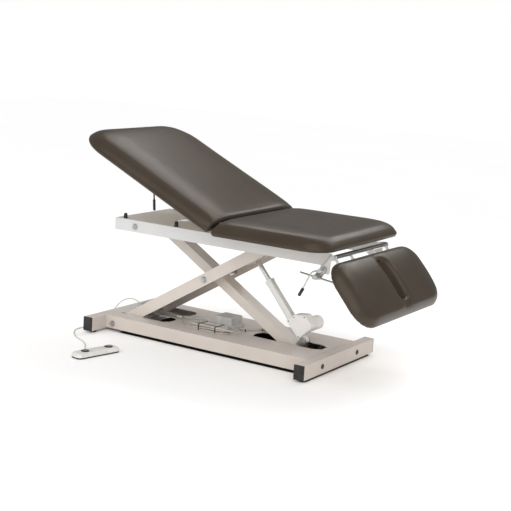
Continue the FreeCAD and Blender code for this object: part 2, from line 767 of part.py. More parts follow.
# Cushions: foam on a wooden board, the cover drawn under it, the top crowned
edge_run = 66.0             # width of the rounded shoulder
edge_rise = 48.0            # and its height
crown_rise = 7.0
tuck = 5.0                  # how far the sides draw in below
corner_least = 8.0
seat_front_corner = 128.0
hinge_corner = 12.0
head_corner = 177.0
drop_corner = 122.0
board_inset = 12.0
shoulder_steps = 5
crown_shares = (0.3, 0.65, 0.9)
crease_share = 0.15         # of every inset: what is left of it at the hinge, where two cushions meet
tuck_shares = (0.2, 0.6)    # where the sides' widest line lies: of the tuck, and of the board's thickness


def outline_corners(x0, x1, half, z, inset, first, second, shares=(1, 1)):
    """Rounded rectangle drawn in by inset, or by a share of it at x0 and x1, with a radius for each end."""
    ax, bx = x0 + inset * shares[0], x1 - inset * shares[1]
    corners = [V(ax, -half + inset, z), V(bx, -half + inset, z), V(bx, half - inset, z),
               V(ax, half - inset, z)]
    r0 = max(first - inset, corner_least)
    r1 = max(second - inset, corner_least)
    return rounded_wire(corners, (r0, r1, r1, r0))


def pad(x0, x1, bottom, first, second, shares=(1, 1)):
    """Crowned cushion, pad_thick high, its length from x0 to x1."""
    edge_top = bottom + pad_thick - crown_rise
    steps = [(tuck, bottom), (tuck * tuck_shares[0], bottom + board_thick * tuck_shares[1])]
    for k in range(shoulder_steps + 1):
        angle = math.radians(90 * k / shoulder_steps)
        steps.append((edge_run * (1 - math.cos(angle)), edge_top - edge_rise * (1 - math.sin(angle))))
    room = min((x1 - x0) / 2, cushion_half) - edge_run
    for share in crown_shares:
        steps.append((edge_run + room * share, edge_top + crown_rise * (1 - (1 - share) ** 2)))
    wires = [outline_corners(x0, x1, cushion_half, z, inset, first, second, shares) for inset, z in steps]
    return Part.makeLoft(wires, True, True)


def board(x0, x1, bottom, first, second):
    """Plywood board, set in from the cushion's edge."""
    wire = outline_corners(x0, x1, cushion_half, bottom, board_inset, first, second)
    return Part.Face(wire).extrude(V(0, 0, board_thick))


def board_recess(x0, x1, bottom, first, second):
    """The board's room in the cushion."""
    shape = board(x0, x1, bottom, first, second)
    return shape.fuse(shape.translated(V(0, 0, -overrun)))


leaf_thick = 2.0
leaf_width = 60.0
leaf_inset = 110.0          # outer hinges' middle, in from the cushion's side
leaf_y = cushion_half - leaf_inset
leaf_places = (-leaf_y, 0, leaf_y)
leaf_depth = 24.0           # how far each leaf is screwed under its board
knuckle_radius = 4.5
hinge_pin_radius = 2.2


def leaf(side, y0, y1, knuckles):
    """Hinge leaf: stands in the gap, from the board's end up to the knuckles."""
    face = hinge_axis.x + side * hinge_gap
    inner = face - side * leaf_thick
    deep = face + side * (board_inset + leaf_depth)
    under = board_bottom - leaf_thick
    stand = block(min(face, inner), max(face, inner), y0, y1, under, hinge_axis.z)
    foot = block(min(inner, deep), max(inner, deep), y0, y1, under, board_bottom)
    shape = stand.fuse(foot)
    for a, b in knuckles:
        shape = shape.fuse(cross_bar(hinge_axis.x, hinge_axis.z, a, b, knuckle_radius))
    return shape


def make_hinges():
    seat_leaves, back_leaves, pins = [], [], []
    for y in leaf_places:
        y0, y1 = y - leaf_width / 2, y + leaf_width / 2
        third = leaf_width / 3
        seat_part = leaf(1, y0, y1, [(y0, y0 + third - side_gap), (y1 - third + side_gap, y1)])
        back_part = leaf(-1, y0, y1, [(y0 + third, y1 - third)])
        gap_ring = knuckle_radius + side_gap
        seat_part = seat_part.cut(cross_bar(hinge_axis.x, hinge_axis.z, y0 + third - side_gap,
                                            y1 - third + side_gap, gap_ring))
        for a, b in ((y0 - overrun, y0 + third), (y1 - third, y1 + overrun)):
            back_part = back_part.cut(cross_bar(hinge_axis.x, hinge_axis.z, a, b, gap_ring))
        bore = cross_bar(hinge_axis.x, hinge_axis.z, y0 - overrun, y1 + overrun, hinge_pin_radius + fit_gap)
        pins.append(cross_bar(hinge_axis.x, hinge_axis.z, y0, y1, hinge_pin_radius))
        seat_leaves.append(seat_part.cut(bore))
        back_leaves.append(tilt(back_part.cut(bore), -backrest_angle, hinge_axis))
    save("seat_hinge_leaves", *(seat_leaves + pins))
    save("backrest_hinge_leaves", *back_leaves)


def make_seat():
    args = (seat_start, seat_end, board_bottom, hinge_corner, seat_front_corner)
    save("seat_board", board(*args))
    save("seat_cushion", pad(*args, (crease_share, 1)).cut(board_recess(*args)))


def make_backrest():
    end = 2 * hinge_axis.x - seat_start
    args = (end - backrest_length, end, board_bottom, head_corner, hinge_corner)
    save("backrest_board", tilt(board(*args), -backrest_angle, hinge_axis))
    cushion = pad(*args, (1, crease_share)).cut(board_recess(*args))
    save("backrest_cushion", tilt(cushion, -backrest_angle, hinge_axis))


# Backrest spring: a gas spring inside the frame pushes a crank below the backrest's hinge end
crank_radius = 110.0
crank_lead = 39.0           # degrees that the crank stands ahead of straight down when flat
anchor_reach = 400.0        # spring's seat, in front of the hinge axis
anchor_sink = 30.0          # and below the frame's top
spring_anchor = V(hinge_axis.x + anchor_reach, crank_y, frame_top - anchor_sink)
crank_thick = 5.0
crank_inner_half = 12.5
crank_slot_out = 22.0
crank_slot_in = 7.0
crank_slot_fore = 14.0
crank_slot_aft = 8.0
spring_pin_radius = 4.0
spring_body_radius = 11.0
spring_body_length = 165.0
spring_rod_radius = 5.0
spring_eye_radius = 9.0
spring_eye_half = 11.0
release_back = 436.5        # lever's pivot, back from the hinge axis with the backrest flat
release_sink = 19.0         # and below the board
release_inset = 100.0
release_y = release_inset - cushion_half
release_lean = 53.3         # how far the lever reaches forward
release_drop = 97.1         # and down
release_radius = 4.0
release_grip_radius = 7.0
release_grip = 58.0


def crank_point(degrees):
    """Middle of the crank's eye with the backrest raised by so many degrees."""
    angle = math.radians(degrees - crank_lead)
    return hinge_axis.x - crank_radius * math.sin(angle), hinge_axis.z - crank_radius * math.cos(angle)


def make_crank():
    x, z = crank_point(0)
    board_x1 = 2 * hinge_axis.x - seat_start - board_inset
    under = board_bottom - leaf_thick
    lead = math.radians(crank_lead)
    out = V(math.sin(lead), 0, -math.cos(lead))
    fore = V(-math.cos(lead), 0, -math.sin(lead))
    eye = V(x, 0, z)

    def local(a, b):
        p = eye + out * a + fore * b
        return p.x, p.z

    wall = crank_thick
    tip = crank_slot_out + spring_pin_radius + wall
    back = crank_slot_in + spring_pin_radius + wall
    left = crank_slot_fore + spring_pin_radius + wall
    right = crank_slot_aft + spring_pin_radius + wall
    outline = [(board_x1, under), (board_x1 - leaf_width * 1.5, under), local(back * 0.5, left * 1.1),
               local(tip, left), local(tip, -right), local(-back, -right)]
    slot = [local(-crank_slot_in - spring_pin_radius, -crank_slot_aft - spring_pin_radius),
            local(crank_slot_out + spring_pin_radius, -crank_slot_aft - spring_pin_radius),
            local(crank_slot_out + spring_pin_radius, crank_slot_fore + spring_pin_radius),
            local(-crank_slot_in - spring_pin_radius, crank_slot_fore + spring_pin_radius)]
    plates = []
    for y in (crank_y + crank_inner_half, crank_y - crank_inner_half - crank_thick):
        plate = side_plate(outline, y, y + crank_thick, (0, 0, wall, wall * 2, wall * 2, wall))
        plate = plate.cut(side_plate(slot, y - overrun, y + crank_thick + overrun, spring_pin_radius))
        plates.append(plate)
    pad_plate = block(board_x1 - leaf_width * 1.5, board_x1, crank_y - crank_inner_half - crank_thick,
                      crank_y + crank_inner_half + crank_thick, under, board_bottom)
    crank = plates[0].fuse(plates[1]).fuse(pad_plate)
    save("backrest_crank", tilt(crank.removeSplitter(), -backrest_angle, hinge_axis))


def make_spring():
    x, z = crank_point(backrest_angle)
    seat = spring_anchor
    tip = V(x, crank_y, z)
    run = (tip - seat).normalize()
    body = bar(seat + run * spring_eye_radius * 0.8, seat + run * spring_body_length, spring_body_radius)
    body = body.fuse(cross_bar(seat.x, seat.z, crank_y - spring_eye_half, crank_y + spring_eye_half,
                               spring_eye_radius))
    body = body.cut(cross_bar(seat.x, seat.z, crank_y - crank_opening_half, crank_y + crank_opening_half,
                              spring_pin_radius + fit_gap))
    body = body.cut(bar(seat + run * spring_body_radius * 2, tip, spring_rod_radius + fit_gap))
    save("gas_spring_cylinder", body)
    rod = bar(seat + run * spring_body_length * 0.6, tip - run * spring_eye_radius * 0.6,
              spring_rod_radius)
    rod = rod.fuse(cross_bar(x, z, crank_y - spring_eye_half, crank_y + spring_eye_half, spring_eye_radius))
    pin_half = crank_inner_half + crank_thick + loose_gap
    rod = rod.fuse(cross_bar(x, z, crank_y - pin_half, crank_y + pin_half, spring_pin_radius))
    save("gas_spring_rod", rod)
    plate_low = seat.z - spring_eye_radius - sheet
    plates = []
    for y in (crank_y + crank_inner_half, crank_y - crank_inner_half - crank_thick):
        plates.append(side_plate([(seat.x - spring_eye_radius, plate_low),
                                  (seat.x + spring_eye_radius, plate_low),
                                  (seat.x + leaf_width / 2, frame_top - sheet),
                                  (seat.x - leaf_width / 2, frame_top - sheet)],
                                 y, y + crank_thick, (sheet, sheet, 0, 0)))
    pin = cross_bar(seat.x, seat.z, crank_y - crank_inner_half - crank_thick,
                    crank_y + crank_inner_half + crank_thick, spring_pin_radius)
    plates = [plate.cut(pin) for plate in plates]
    save("spring_anchor", plates[0], plates[1], pin)


def make_release():
    """Release lever under the near edge of the backrest, in a small bracket on its board."""
    top = V(hinge_axis.x - release_back, release_y, board_bottom - release_sink)
    low = top + V(release_lean, 0, -release_drop)
    run = (low - top).normalize()
    grip_start = low - run * release_grip
    rod = bar(top, grip_start, release_radius)
    hub = cross_bar(top.x, top.z, top.y - release_grip_radius, top.y + release_grip_radius,
                    release_grip_radius)
    grip = bar(grip_start, low, release_grip_radius)
    grip = grip.makeFillet(release_grip_radius * 0.6, [e for e in grip.Edges if e.Length > fit_gap
                                                       and len(e.Vertexes) == 1])
    lever = rod.fuse(hub).fuse(grip)
    lever = lever.cut(cross_bar(top.x, top.z, top.y - board_inset, top.y + board_inset,
                                release_radius * 0.7 + fit_gap))
    save("release_lever", tilt(lever, -backrest_angle, hinge_axis))
    cheeks = []
    wide = release_grip_radius + sheet
    for side in (-1, 1):
        ends = sorted((top.y + side * (release_grip_radius + side_gap),
                       top.y + side * (release_grip_radius + side_gap + sheet)))
        cheek = side_plate([(top.x - wide, top.z - wide), (top.x + wide, top.z - wide),
                            (top.x + wide, board_bottom), (top.x - wide, board_bottom)],
                           ends[0], ends[1], (wide * 0.8, wide * 0.8, 0, 0))
        cheeks.append(cheek)
    half = release_grip_radius + side_gap + sheet
    pin = cross_bar(top.x, top.z, top.y - half, top.y + half, release_radius * 0.7)
    bracket = [tilt(cheek.cut(pin), -backrest_angle, hinge_axis) for cheek in cheeks]
    save("release_bracket", bracket[0], bracket[1], tilt(pin, -backrest_angle, hinge_axis))


# Drop section: cushion on a board, tabs to a chrome tube that turns between the ears
drop_tube_radius = 12.5
drop_tube_bore = 10.0
drop_end_plug = 20.0
drop_under = 5.0            # board underside above the tube's axis, when flat
tab_thick = 5.0
tab_inset = 13.0
tab_places = (110.0, ear_half - tab_inset)
tab_reach = 96.0
tab_drop = 17.0             # depth of each tab below the board, half way along
slot_gap_start = 58.0       # breathing slot, from the cushion's near edge
slot_length = 217.0
slot_width = 76.0
slot_flare = 9.0
link_drop = 21.4            # clamp rod's pin below the hinge, when flat; as far from it as the clamp's bolt
link_reach = math.sqrt(clamp_back ** 2 + clamp_below ** 2 - link_drop ** 2)


def place_drop(shape):
    """From flat, with the hinge at its place, down to the angle shown."""
    return tilt(shape, -drop_angle, drop_hinge)


def make_drop():
    x0 = drop_hinge.x + drop_start
    x1 = x0 + drop_length
    bottom = drop_hinge.z + drop_under
    args = (x0, x1, bottom, drop_corner, drop_corner)
    start = x0 + slot_gap_start
    half = slot_width / 2

    def slot_wire(z, grow):
        corners = [V(start - grow, -half - grow, z), V(start + slot_length + grow, -half - grow, z),
                   V(start + slot_length + grow, half + grow, z), V(start - grow, half + grow, z)]
        return rounded_wire(corners, (half + grow) * 0.92)

    top = bottom + pad_thick
    levels = ((bottom - overrun, 0), (top - crown_rise * 2.5, 0), (top - crown_rise, slot_flare * 0.4),
              (top + overrun, slot_flare * 2))
    slot = Part.makeLoft([slot_wire(z, grow) for z, grow in levels], True, True)
    panel = board(*args).cut(slot)
    save("drop_board", place_drop(panel))
    cushion = pad(*args).cut(board_recess(*args)).cut(slot)
    save("drop_cushion", place_drop(cushion))

    y_end = ear_half - sheet - side_gap
    x, z = drop_hinge.x, drop_hinge.z
    tube = cross_bar(x, z, -y_end, y_end, drop_tube_radius)
    tube = tube.cut(cross_bar(x, z, -y_end + drop_end_plug, y_end - drop_end_plug, drop_tube_bore))
    tube = tube.cut(cross_bar(x, z, -y_end - overrun, y_end + overrun, drop_bolt_radius + fit_gap))
    save("drop_tube", place_drop(tube))
    tabs = []
    for y in tab_places:
        plate = side_plate([(x, z - drop_tube_radius * 0.6), (x + tab_reach / 2, bottom - tab_drop),
                            (x + tab_reach, bottom - tab_thick), (x + tab_reach, bottom),
                            (x, bottom)], y, y + tab_thick)
        foot = block(x + drop_start + board_inset + loose_gap, x + tab_reach, y - tab_thick * 2, y + tab_thick,
                     bottom - tab_thick / 2, bottom)
        tab = plate.fuse(foot).cut(cross_bar(x, z, y - tab_thick * 3, y + tab_thick * 2, drop_tube_radius))
        tabs += both(tab)
    save("drop_tabs", *[place_drop(tab) for tab in tabs])


# Clamp that holds the drop section: a rod on the drop section slides through a block
# that turns on the near ear, and a bent lever locks it
clamp_stand = 25.0          # rod's middle, out from the ear
clamp_y = -ear_half - clamp_stand
rod_offset = 43.0           # rod's line below the line from the hub to the rod's pin
clamp_rod_radius = 5.0
clamp_rod_tail = 112.0
clamp_arm_thick = 8.0
clamp_arm_gap = 1.0
clamp_block = 28.0
clamp_block_back = 24.0     # block's middle, back along the rod from the hub
link_radius = 9.0
link_half = 6.0
lug_plate = 5.0
lever_stand = 22.0          # lever's middle, out from the rod's
lever_y = clamp_y - lever_stand
lever_radius = 4.0
lever_hub = 11.0
lever_steps = ((41.0, 12.0), (81.0, 99.0), (103.0, 140.0))      # bend, knee and end: back and down from the hub
lever_bend, lever_knee, lever_end = [V(clamp_hub.x - away, lever_y, clamp_hub.z - fall)
                                     for away, fall in lever_steps]
grip_radius = 8.0


def make_clamp():
    flat_x, flat_z = drop_hinge.x + link_reach, drop_hinge.z - link_drop
    lx, lz = tilt_point(flat_x, flat_z, -drop_angle, drop_hinge)
    link = V(lx, 0, lz)
    hub = clamp_hub
    run = (link - hub).normalize()
    down = V(run.z, 0, -run.x)

    def at(base, a, b, y=0):
        return base + run * a + down * b + V(0, y, 0)

    middle = at(hub, -clamp_block_back, rod_offset, clamp_y)
    half = clamp_block / 2
    y0 = -ear_half - clamp_arm_gap - clamp_arm_thick
    y1 = -ear_half - clamp_arm_gap
    corners = [at(hub, half, -half * 0.9, y0), at(hub, half, half * 0.8, y0), at(middle, half, half, y0 - clamp_y),
               at(middle, -half, half, y0 - clamp_y), at(middle, -half, -half, y0 - clamp_y),
               at(hub, -half, -half * 0.9, y0)]
    arm = Part.Face(rounded_wire(corners, (half * 0.8, half * 0.5, half * 0.4, half * 0.4, half * 0.4, half * 0.8)))
    arm = arm.extrude(V(0, y1 - y0, 0))
    flank = half * 0.8
    corners = [at(middle, -half, -flank, -half), at(middle, half, -flank, -half),
               at(middle, half, flank, -half), at(middle, -half, flank, -half)]
    chunk = Part.Face(rounded_wire(corners, lug_plate)).extrude(V(0, y0 - clamp_y + half, 0))
    body = arm.fuse(chunk)
    bore = bar(at(middle, -clamp_block * 2, 0), at(middle, clamp_block * 2, 0), clamp_rod_radius + fit_gap)
    body = body.cut(bore)
    body = body.cut(cross_bar(hub.x, hub.z, y0 - overrun, y1 + overrun, clamp_bolt_radius + fit_gap))
    save("clamp_body", body)

    foot = at(link, 0, rod_offset, clamp_y)
    tail = at(hub, -clamp_rod_tail, rod_offset, clamp_y)
    rod = bar(tail, foot, clamp_rod_radius)
    wide = link_radius
    ya, yb = clamp_y - link_half, clamp_y + link_half
    corners = [at(link, -wide, -wide, ya), at(link, wide, -wide, ya), at(link, wide, rod_offset + wide, ya),
               at(link, -wide, rod_offset + wide, ya)]
    yoke = Part.Face(rounded_wire(corners, wide * 0.9)).extrude(V(0, yb - ya, 0))
    yoke = yoke.cut(cross_bar(link.x, link.z, ya - overrun, yb + overrun, lug_plate + fit_gap))
    save("clamp_rod", rod.fuse(yoke))

    bottom = drop_hinge.z + drop_under
    ly1 = yb + side_gap + lug_plate
    lug = side_plate([(flat_x - wide, flat_z - wide * 1.2), (flat_x + wide, flat_z - wide * 1.2),
                      (flat_x + wide * 2, bottom), (flat_x - wide * 2, bottom)],
                     yb + side_gap, ly1, (wide * 0.9, wide * 0.9, 0, 0))
    pin = cross_bar(flat_x, flat_z, ya - sheet, ly1, lug_plate)
    save("drop_lug", place_drop(lug.fuse(pin)))

    ring = cross_bar(hub.x, hub.z, lever_y - lever_radius, lever_y + lever_radius, lever_hub)
    start = V(hub.x, lever_y, hub.z)
    grip_run = (lever_end - lever_knee).normalize()
    path = cord_path([start, lever_bend, lever_knee + grip_run * grip_radius])[0]
    arm_rod = sweep_round(path, lever_radius)
    lever = ring.fuse(arm_rod)
    lever = lever.cut(cross_bar(hub.x, hub.z, lever_y - lever_hub, lever_y + lever_hub,
                                clamp_bolt_radius + fit_gap))
    grip = bar(lever_knee, lever_end, grip_radius)
    grip = grip.makeFillet(grip_radius * 0.5, [e for e in grip.Edges if len(e.Vertexes) == 1])
    grip = grip.cut(arm_rod)
    save("clamp_lever", lever)
    save("clamp_grip", grip)


# On the deck: control box, junction box and the cables between them
box_start = 548.0
box_end = 658.0
box_near = -72.0
box_far = 38.0
box_height = 72.0
box_step = 18.0
box_step_height = 30.0
box_round = 6.0
junction_start = -8.0
junction_end = 14.0
junction_near = -11.0
junction_far = 76.0
junction_height = 35.0
outlet_start = 806.0        # where two cables go down through the deck, behind the inner arm
outlet_length = 24.0
outlet_near = 70.0
outlet_far = 104.0
outlet_height = 14.0
cable_radius = 3.5
lying = cable_radius + side_gap     # height of a cable that lies on the deck

# Routes as places along, across and above the deck
left_cable = ((junction_end, 20.0, 8.0), (46.0, 20.0, 8.0), (92.0, 6.0, lying), (150.0, 10.0, lying),
              (205.0, 2.0, lying), (258.0, -10.0, lying), (305.0, -24.0, lying), (346.0, -56.0, lying),
              (378.0, -98.0, lying), (408.0, -136.0, lying), (434.0, -154.6, lying), (465.0, -154.6, lying))
second_cable = ((junction_end, 40.0, 10.0), (44.0, 40.0, 10.0), (96.0, 24.0, lying), (152.0, 28.0, lying),
                (206.0, 20.0, lying), (260.0, 10.0, lying), (312.0, 2.0, lying), (362.0, 8.0, 4.5),
                (412.0, 4.0, 16.0), (458.0, -2.0, 22.0), (505.0, -6.0, 16.0), (box_start, -6.0, 16.0))
hank_cable = ((655.0, -154.6, 28.7), (691.0, -154.6, 28.7), (722.0, -130.0, 22.0),
              (729.0, -92.0, 15.0), (709.0, -58.0, 12.0), (box_end + box_step, -58.0, 12.0))
right_cable = ((box_end + box_step, -10.0, 12.0), (700.0, -10.0, 12.0), (722.0, 12.0, 8.0),
               (742.0, 44.0, lying), (763.0, 68.0, lying), (786.0, 80.0, lying),
               (outlet_start, 80.0, lying))
fourth_cable = ((box_end + box_step, 10.0, 10.0), (697.0, 10.0, 10.0), (714.0, 30.0, 6.0),
                (732.0, 58.0, lying), (752.0, 82.0, lying), (778.0, 94.0, lying),
                (outlet_start, 94.0, lying))


def make_boxes():
    case = block(box_start, box_end, box_near, box_far, beam_top, beam_top + box_height)
    case = case.makeFillet(box_round, [e for e in case.Edges if e.CenterOfMass.z > beam_top + fit_gap])
    step = block(box_end - box_round * 2, box_end + box_step, box_near + box_round, box_far - box_round,
                 beam_top, beam_top + box_step_height)
    step = step.makeFillet(box_round / 3, [e for e in step.Edges if e.CenterOfMass.z > beam_top + fit_gap])
    save("control_box", case.fuse(step).removeSplitter())
    small = block(junction_start, junction_end, junction_near, junction_far, beam_top,
                  beam_top + junction_height)
    small = small.makeFillet(box_round / 3, [e for e in small.Edges if e.CenterOfMass.z > beam_top + fit_gap])
    save("junction_box", small)
    outlet = block(outlet_start, outlet_start + outlet_length, outlet_near, outlet_far, beam_top,
                   beam_top + outlet_height)
    return outlet.makeFillet(box_round / 3, [e for e in outlet.Edges if e.CenterOfMass.z > beam_top + fit_gap])


hank_pitch = 8.2
hank_inner = 12.0
hank_turns = 3
hank_layers = 4
hank_run = 150.0
hank_x = 560.0
hank_y = -118.0
hank_lead = 20.0


def hank_edges():
    """Loops laid in and out again: runs and half turns, each layer climbed to along a near run."""
    left, right = hank_x - hank_run / 2, hank_x + hank_run / 2
    level = beam_top + cable_radius + side_gap
    edges = []

    def line(x0, x1, y, z):
        edges.append(Part.LineSegment(V(x0, y, z), V(x1, y, z)).toShape())

    def half_turn(x, y0, y1, z, side):
        middle = V(x + side * abs(y1 - y0) / 2, (y0 + y1) / 2, z)
        edges.append(Part.Arc(V(x, y0, z), middle, V(x, y1, z)).toShape())

    def climb(x0, x1, y, z0, z1):
        """Two equal arcs that rise from one level run to the next."""
        run, rise = x1 - x0, z1 - z0
        radius = (run ** 2 + rise ** 2) / (4 * rise)
        turn = 2 * math.asin(run / (2 * radius)) / 2
        first = V(x0 + radius * math.sin(turn / 2), y, z0 + radius * (1 - math.cos(turn / 2)))
        centre = V((x0 + x1) / 2, y, (z0 + z1) / 2)
        second = V(x1 - radius * math.sin(turn / 2), y, z1 - radius * (1 - math.cos(turn / 2)))
        edges.append(Part.Arc(V(x0, y, z0), first, centre).toShape())
        edges.append(Part.Arc(centre, second, V(x1, y, z1)).toShape())

    outer = hank_inner + hank_turns * hank_pitch
    line(left - hank_lead, right, hank_y - outer, level)
    for layer in range(hank_layers):
        inward = layer % 2 == 0
        for turn in range(hank_turns):
            reach = outer - turn * hank_pitch if inward else hank_inner + turn * hank_pitch
            following = reach - hank_pitch if inward else reach + hank_pitch
            half_turn(right, hank_y - reach, hank_y + reach, level, 1)
            line(right, left, hank_y + reach, level)
            half_turn(left, hank_y + reach, hank_y - following, level, -1)
            if turn < hank_turns - 1:
                line(left, right, hank_y - following, level)
        if layer < hank_layers - 1:
            climb(left, right, hank_y - following, level, level + hank_pitch)
            level += hank_pitch
    line(left, right + hank_lead, hank_y - outer, level)
    return edges


def make_hank():
    edges = hank_edges()
    least = None
    for i, first in enumerate(edges):
        for second in edges[i + 2:]:
            gap = first.distToShape(second)[0] - 2 * cable_radius
            least = gap if least is None else min(least, gap)
    path = Part.Wire(edges)
    tube = sweep_round(path, cable_radius)
    share = tube.Volume / (math.pi * cable_radius ** 2 * path.Length)
    print(f"hank: length {path.Length:.0f} mm, least gap {least:.2f} mm, volume share {share:.4f}")
    save("cable_hank", tube)


tie_width = 5.0
tie_thick = 1.6
tie_inset = 22.0


def make_ties(outlet):
    """Strap ties round the hank, and the moulded outlet of the cables that go through the deck."""
    outer = hank_inner + hank_turns * hank_pitch + cable_radius
    high = (hank_layers - 1) * hank_pitch + 2 * cable_radius + 2 * side_gap
    ties = []
    for x in (hank_x - hank_run / 2 + tie_inset, hank_x + hank_run / 2 - tie_inset):
        ties.append(strap(x, hank_y, beam_top + side_gap, outer + side_gap, high))
    save("cable_ties", *ties, outlet)


def strap(x, y, z0, half, height):
    """Rectangular band in the cross plane with rounded corners."""
    outer = [V(x, y - half - tie_thick, z0 - side_gap), V(x, y + half + tie_thick, z0 - side_gap),
             V(x, y + half + tie_thick, z0 + height + tie_thick),
             V(x, y - half - tie_thick, z0 + height + tie_thick)]
    inner = [V(x - overrun, y - half, z0), V(x - overrun, y + half, z0), V(x - overrun, y + half, z0 + height),
             V(x - overrun, y - half, z0 + height)]
    band = Part.Face(rounded_wire(outer, tie_thick * 1.5)).extrude(V(tie_width, 0, 0))
    return band.cut(Part.Face(rounded_wire(inner, tie_thick)).extrude(V(tie_width + 2 * overrun, 0, 0)))


def make_cables():
    routes = {"left cable": left_cable, "second cable": second_cable, "hank cable": hank_cable,
              "right cable": right_cable, "fourth cable": fourth_cable}
    tubes = []
    for name, route in routes.items():
        tubes.append(cord(name, [(x, y, beam_top + rise) for x, y, rise in route], cable_radius))
    save("deck_cables", *tubes)


# Foot switch on the floor: a long shell on a rubber base, with two round buttons
switch_x = 232.5
switch_y = -660.4
switch_turn = -12.0         # degrees from the cross direction
switch_half = 135.0
switch_wide = 40.0
switch_height = 29.0
switch_base = 8.0
switch_round = 26.0
button_radius = 21.5
button_places = (-67.0, 82.0)
button_rise = 5.0
button_well = 8.0
foot_cord_radius = 3.0
foot_cord_points = ((-8.0, 12.0, 112.0), (-34.0, 0.0, 134.0), (-66.0, -22.0, 140.0), (-96.0, -48.0, 124.0),
                    (-118.0, -74.0, 88.0), (-130.0, -100.0, 46.0), (-137.0, -138.0, 15.0),
                    (-142.0, -190.0, 3.3), (-149.0, -244.0, 3.3), (-160.0, -290.0, 3.3),
                    (-166.0, -332.0, 3.3), (-154.0, -372.0, 3.3), (-128.0, -412.0, 3.3),
                    (-92.0, -448.0, 3.3), (-42.0, -486.0, 3.3), (16.0, -512.0, 3.3), (68.0, -548.0, 3.3),
                    (104.0, -590.0, 3.3), (134.0, -628.0, 7.5), (163.6, -656.0, 13.2), (193.4, -662.4, 14.0))


def place_switch(shape):
    shape.rotate(origin, V(0, 0, 1), switch_turn)
    shape.translate(V(switch_x, switch_y, 0))
    return shape


def make_switch():
    def ring(z, inset):
        x, y = switch_wide - inset, switch_half - inset
        corners = [V(-x, -y, z), V(x, -y, z), V(x, y, z), V(-x, y, z)]
        return rounded_wire(corners, max(switch_round - inset, switch_base))

    base = Part.makeLoft([ring(0, sheet), ring(switch_base, sheet)], True, True)
    save("foot_switch_base", place_switch(base))
    top = switch_height
    levels = ((switch_base, 0), (top * 0.6, sheet * 0.7), (top * 0.85, sheet * 2), (top, switch_base * 1.6))
    shell = Part.makeLoft([ring(z, inset) for z, inset in levels], True, True)
    for y in button_places:
        shell = shell.cut(bar(V(0, y, top - button_well), V(0, y, top + overrun), button_radius + side_gap))
    save("foot_switch_shell", place_switch(shell))
    for name, y in zip(("foot_button_down", "foot_button_up"), button_places):
        rise = button_rise
        profile = [V(0, y, top - button_well / 2), V(button_radius, y, top - button_well / 2),
                   V(button_radius, y, top + rise * 0.4), V(button_radius * 0.8, y, top + rise * 0.85),
                   V(0, y, top + rise)]
        button = Part.Face(Part.makePolygon(profile + profile[:1])).revolve(V(0, y, 0), V(0, 0, 1), 360)
        save(name, place_switch(button))
    save("foot_cord", cord("foot cord", foot_cord_points, foot_cord_radius))


make_beams()
make_feet()
make_deck()
make_base_pivot()
make_outer_arm()
make_inner_arm()
make_crossing()
make_frame_pivot()
make_rollers()
make_tracks()
make_drive()
make_clevis()
make_top_frame()
make_ears()
make_rests()
make_seat()
make_backrest()
make_hinges()
make_crank()
make_spring()
make_release()
make_drop()
make_clamp()
cable_outlet = make_boxes()
make_hank()
make_ties(cable_outlet)
make_cables()
make_switch()
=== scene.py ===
# A powered treatment table: floor base, crossed lift arms, upper frame and three vinyl cushions.
# The sections follow the order in which the table is put together. Metres, X along the table.
import bpy
import numpy as np
from mathutils import Matrix, Vector


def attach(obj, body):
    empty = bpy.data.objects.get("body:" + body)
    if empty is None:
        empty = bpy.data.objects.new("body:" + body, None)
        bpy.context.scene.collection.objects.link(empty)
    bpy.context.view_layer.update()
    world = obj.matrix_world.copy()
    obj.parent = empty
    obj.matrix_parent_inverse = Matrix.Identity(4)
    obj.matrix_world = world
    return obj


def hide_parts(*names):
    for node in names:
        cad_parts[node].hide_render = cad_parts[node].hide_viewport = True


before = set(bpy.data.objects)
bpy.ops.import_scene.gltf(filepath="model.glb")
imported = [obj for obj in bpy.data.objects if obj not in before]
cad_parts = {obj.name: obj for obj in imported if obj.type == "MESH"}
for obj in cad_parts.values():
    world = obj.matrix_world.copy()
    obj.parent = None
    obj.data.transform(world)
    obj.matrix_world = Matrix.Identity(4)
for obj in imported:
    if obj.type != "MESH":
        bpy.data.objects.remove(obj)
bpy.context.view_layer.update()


# Viewpoint: a long lens a little above the cushions, off the near front corner, rolled a few degrees.
# Its three axes are worked out from two angles and the roll.
azimuth, elevation, roll = np.radians((32.0, 10.8, 3.4))
back = np.array((np.sin(azimuth) * np.cos(elevation), -np.cos(azimuth) * np.cos(elevation),
                 np.sin(elevation)))
level = np.array((np.cos(azimuth), np.sin(azimuth), 0.0))
upright = np.cross(back, level)
columns = (level * np.cos(roll) + upright * np.sin(roll), upright * np.cos(roll) - level * np.sin(roll),
           back)
standpoint = (2.776, -5.263, 1.687)
stand = bpy.data.objects.new("viewpoint", bpy.data.cameras.new("viewpoint"))
stand.data.sensor_width = 36.0
stand.data.lens = 85.12
stand.data.clip_end = 60.0
aimed = Matrix([[float(column[row]) for column in columns] for row in range(3)]).to_4x4()
stand.matrix_world = Matrix.Translation(standpoint) @ aimed
bpy.context.scene.collection.objects.link(stand)
bpy.context.scene.camera = stand


# Studio: a white seamless floor under a white sky, a broad soft key high in front, and long soft
# strips above and behind the table, which draw the highlights along the cushions' shoulders. The floor
# right under the deck and below its far skirt carries painted shade, near black, so that the deck's
# openings show no light.
def finish(name, roughness, metallic=0.0):
    """A new surface finish, with its node tree and its shader."""
    made = bpy.data.materials.new(name)
    made.use_nodes = True
    shader = made.node_tree.nodes["Principled BSDF"]
    shader.inputs["Roughness"].default_value = roughness
    shader.inputs["Metallic"].default_value = metallic
    return made, made.node_tree, shader


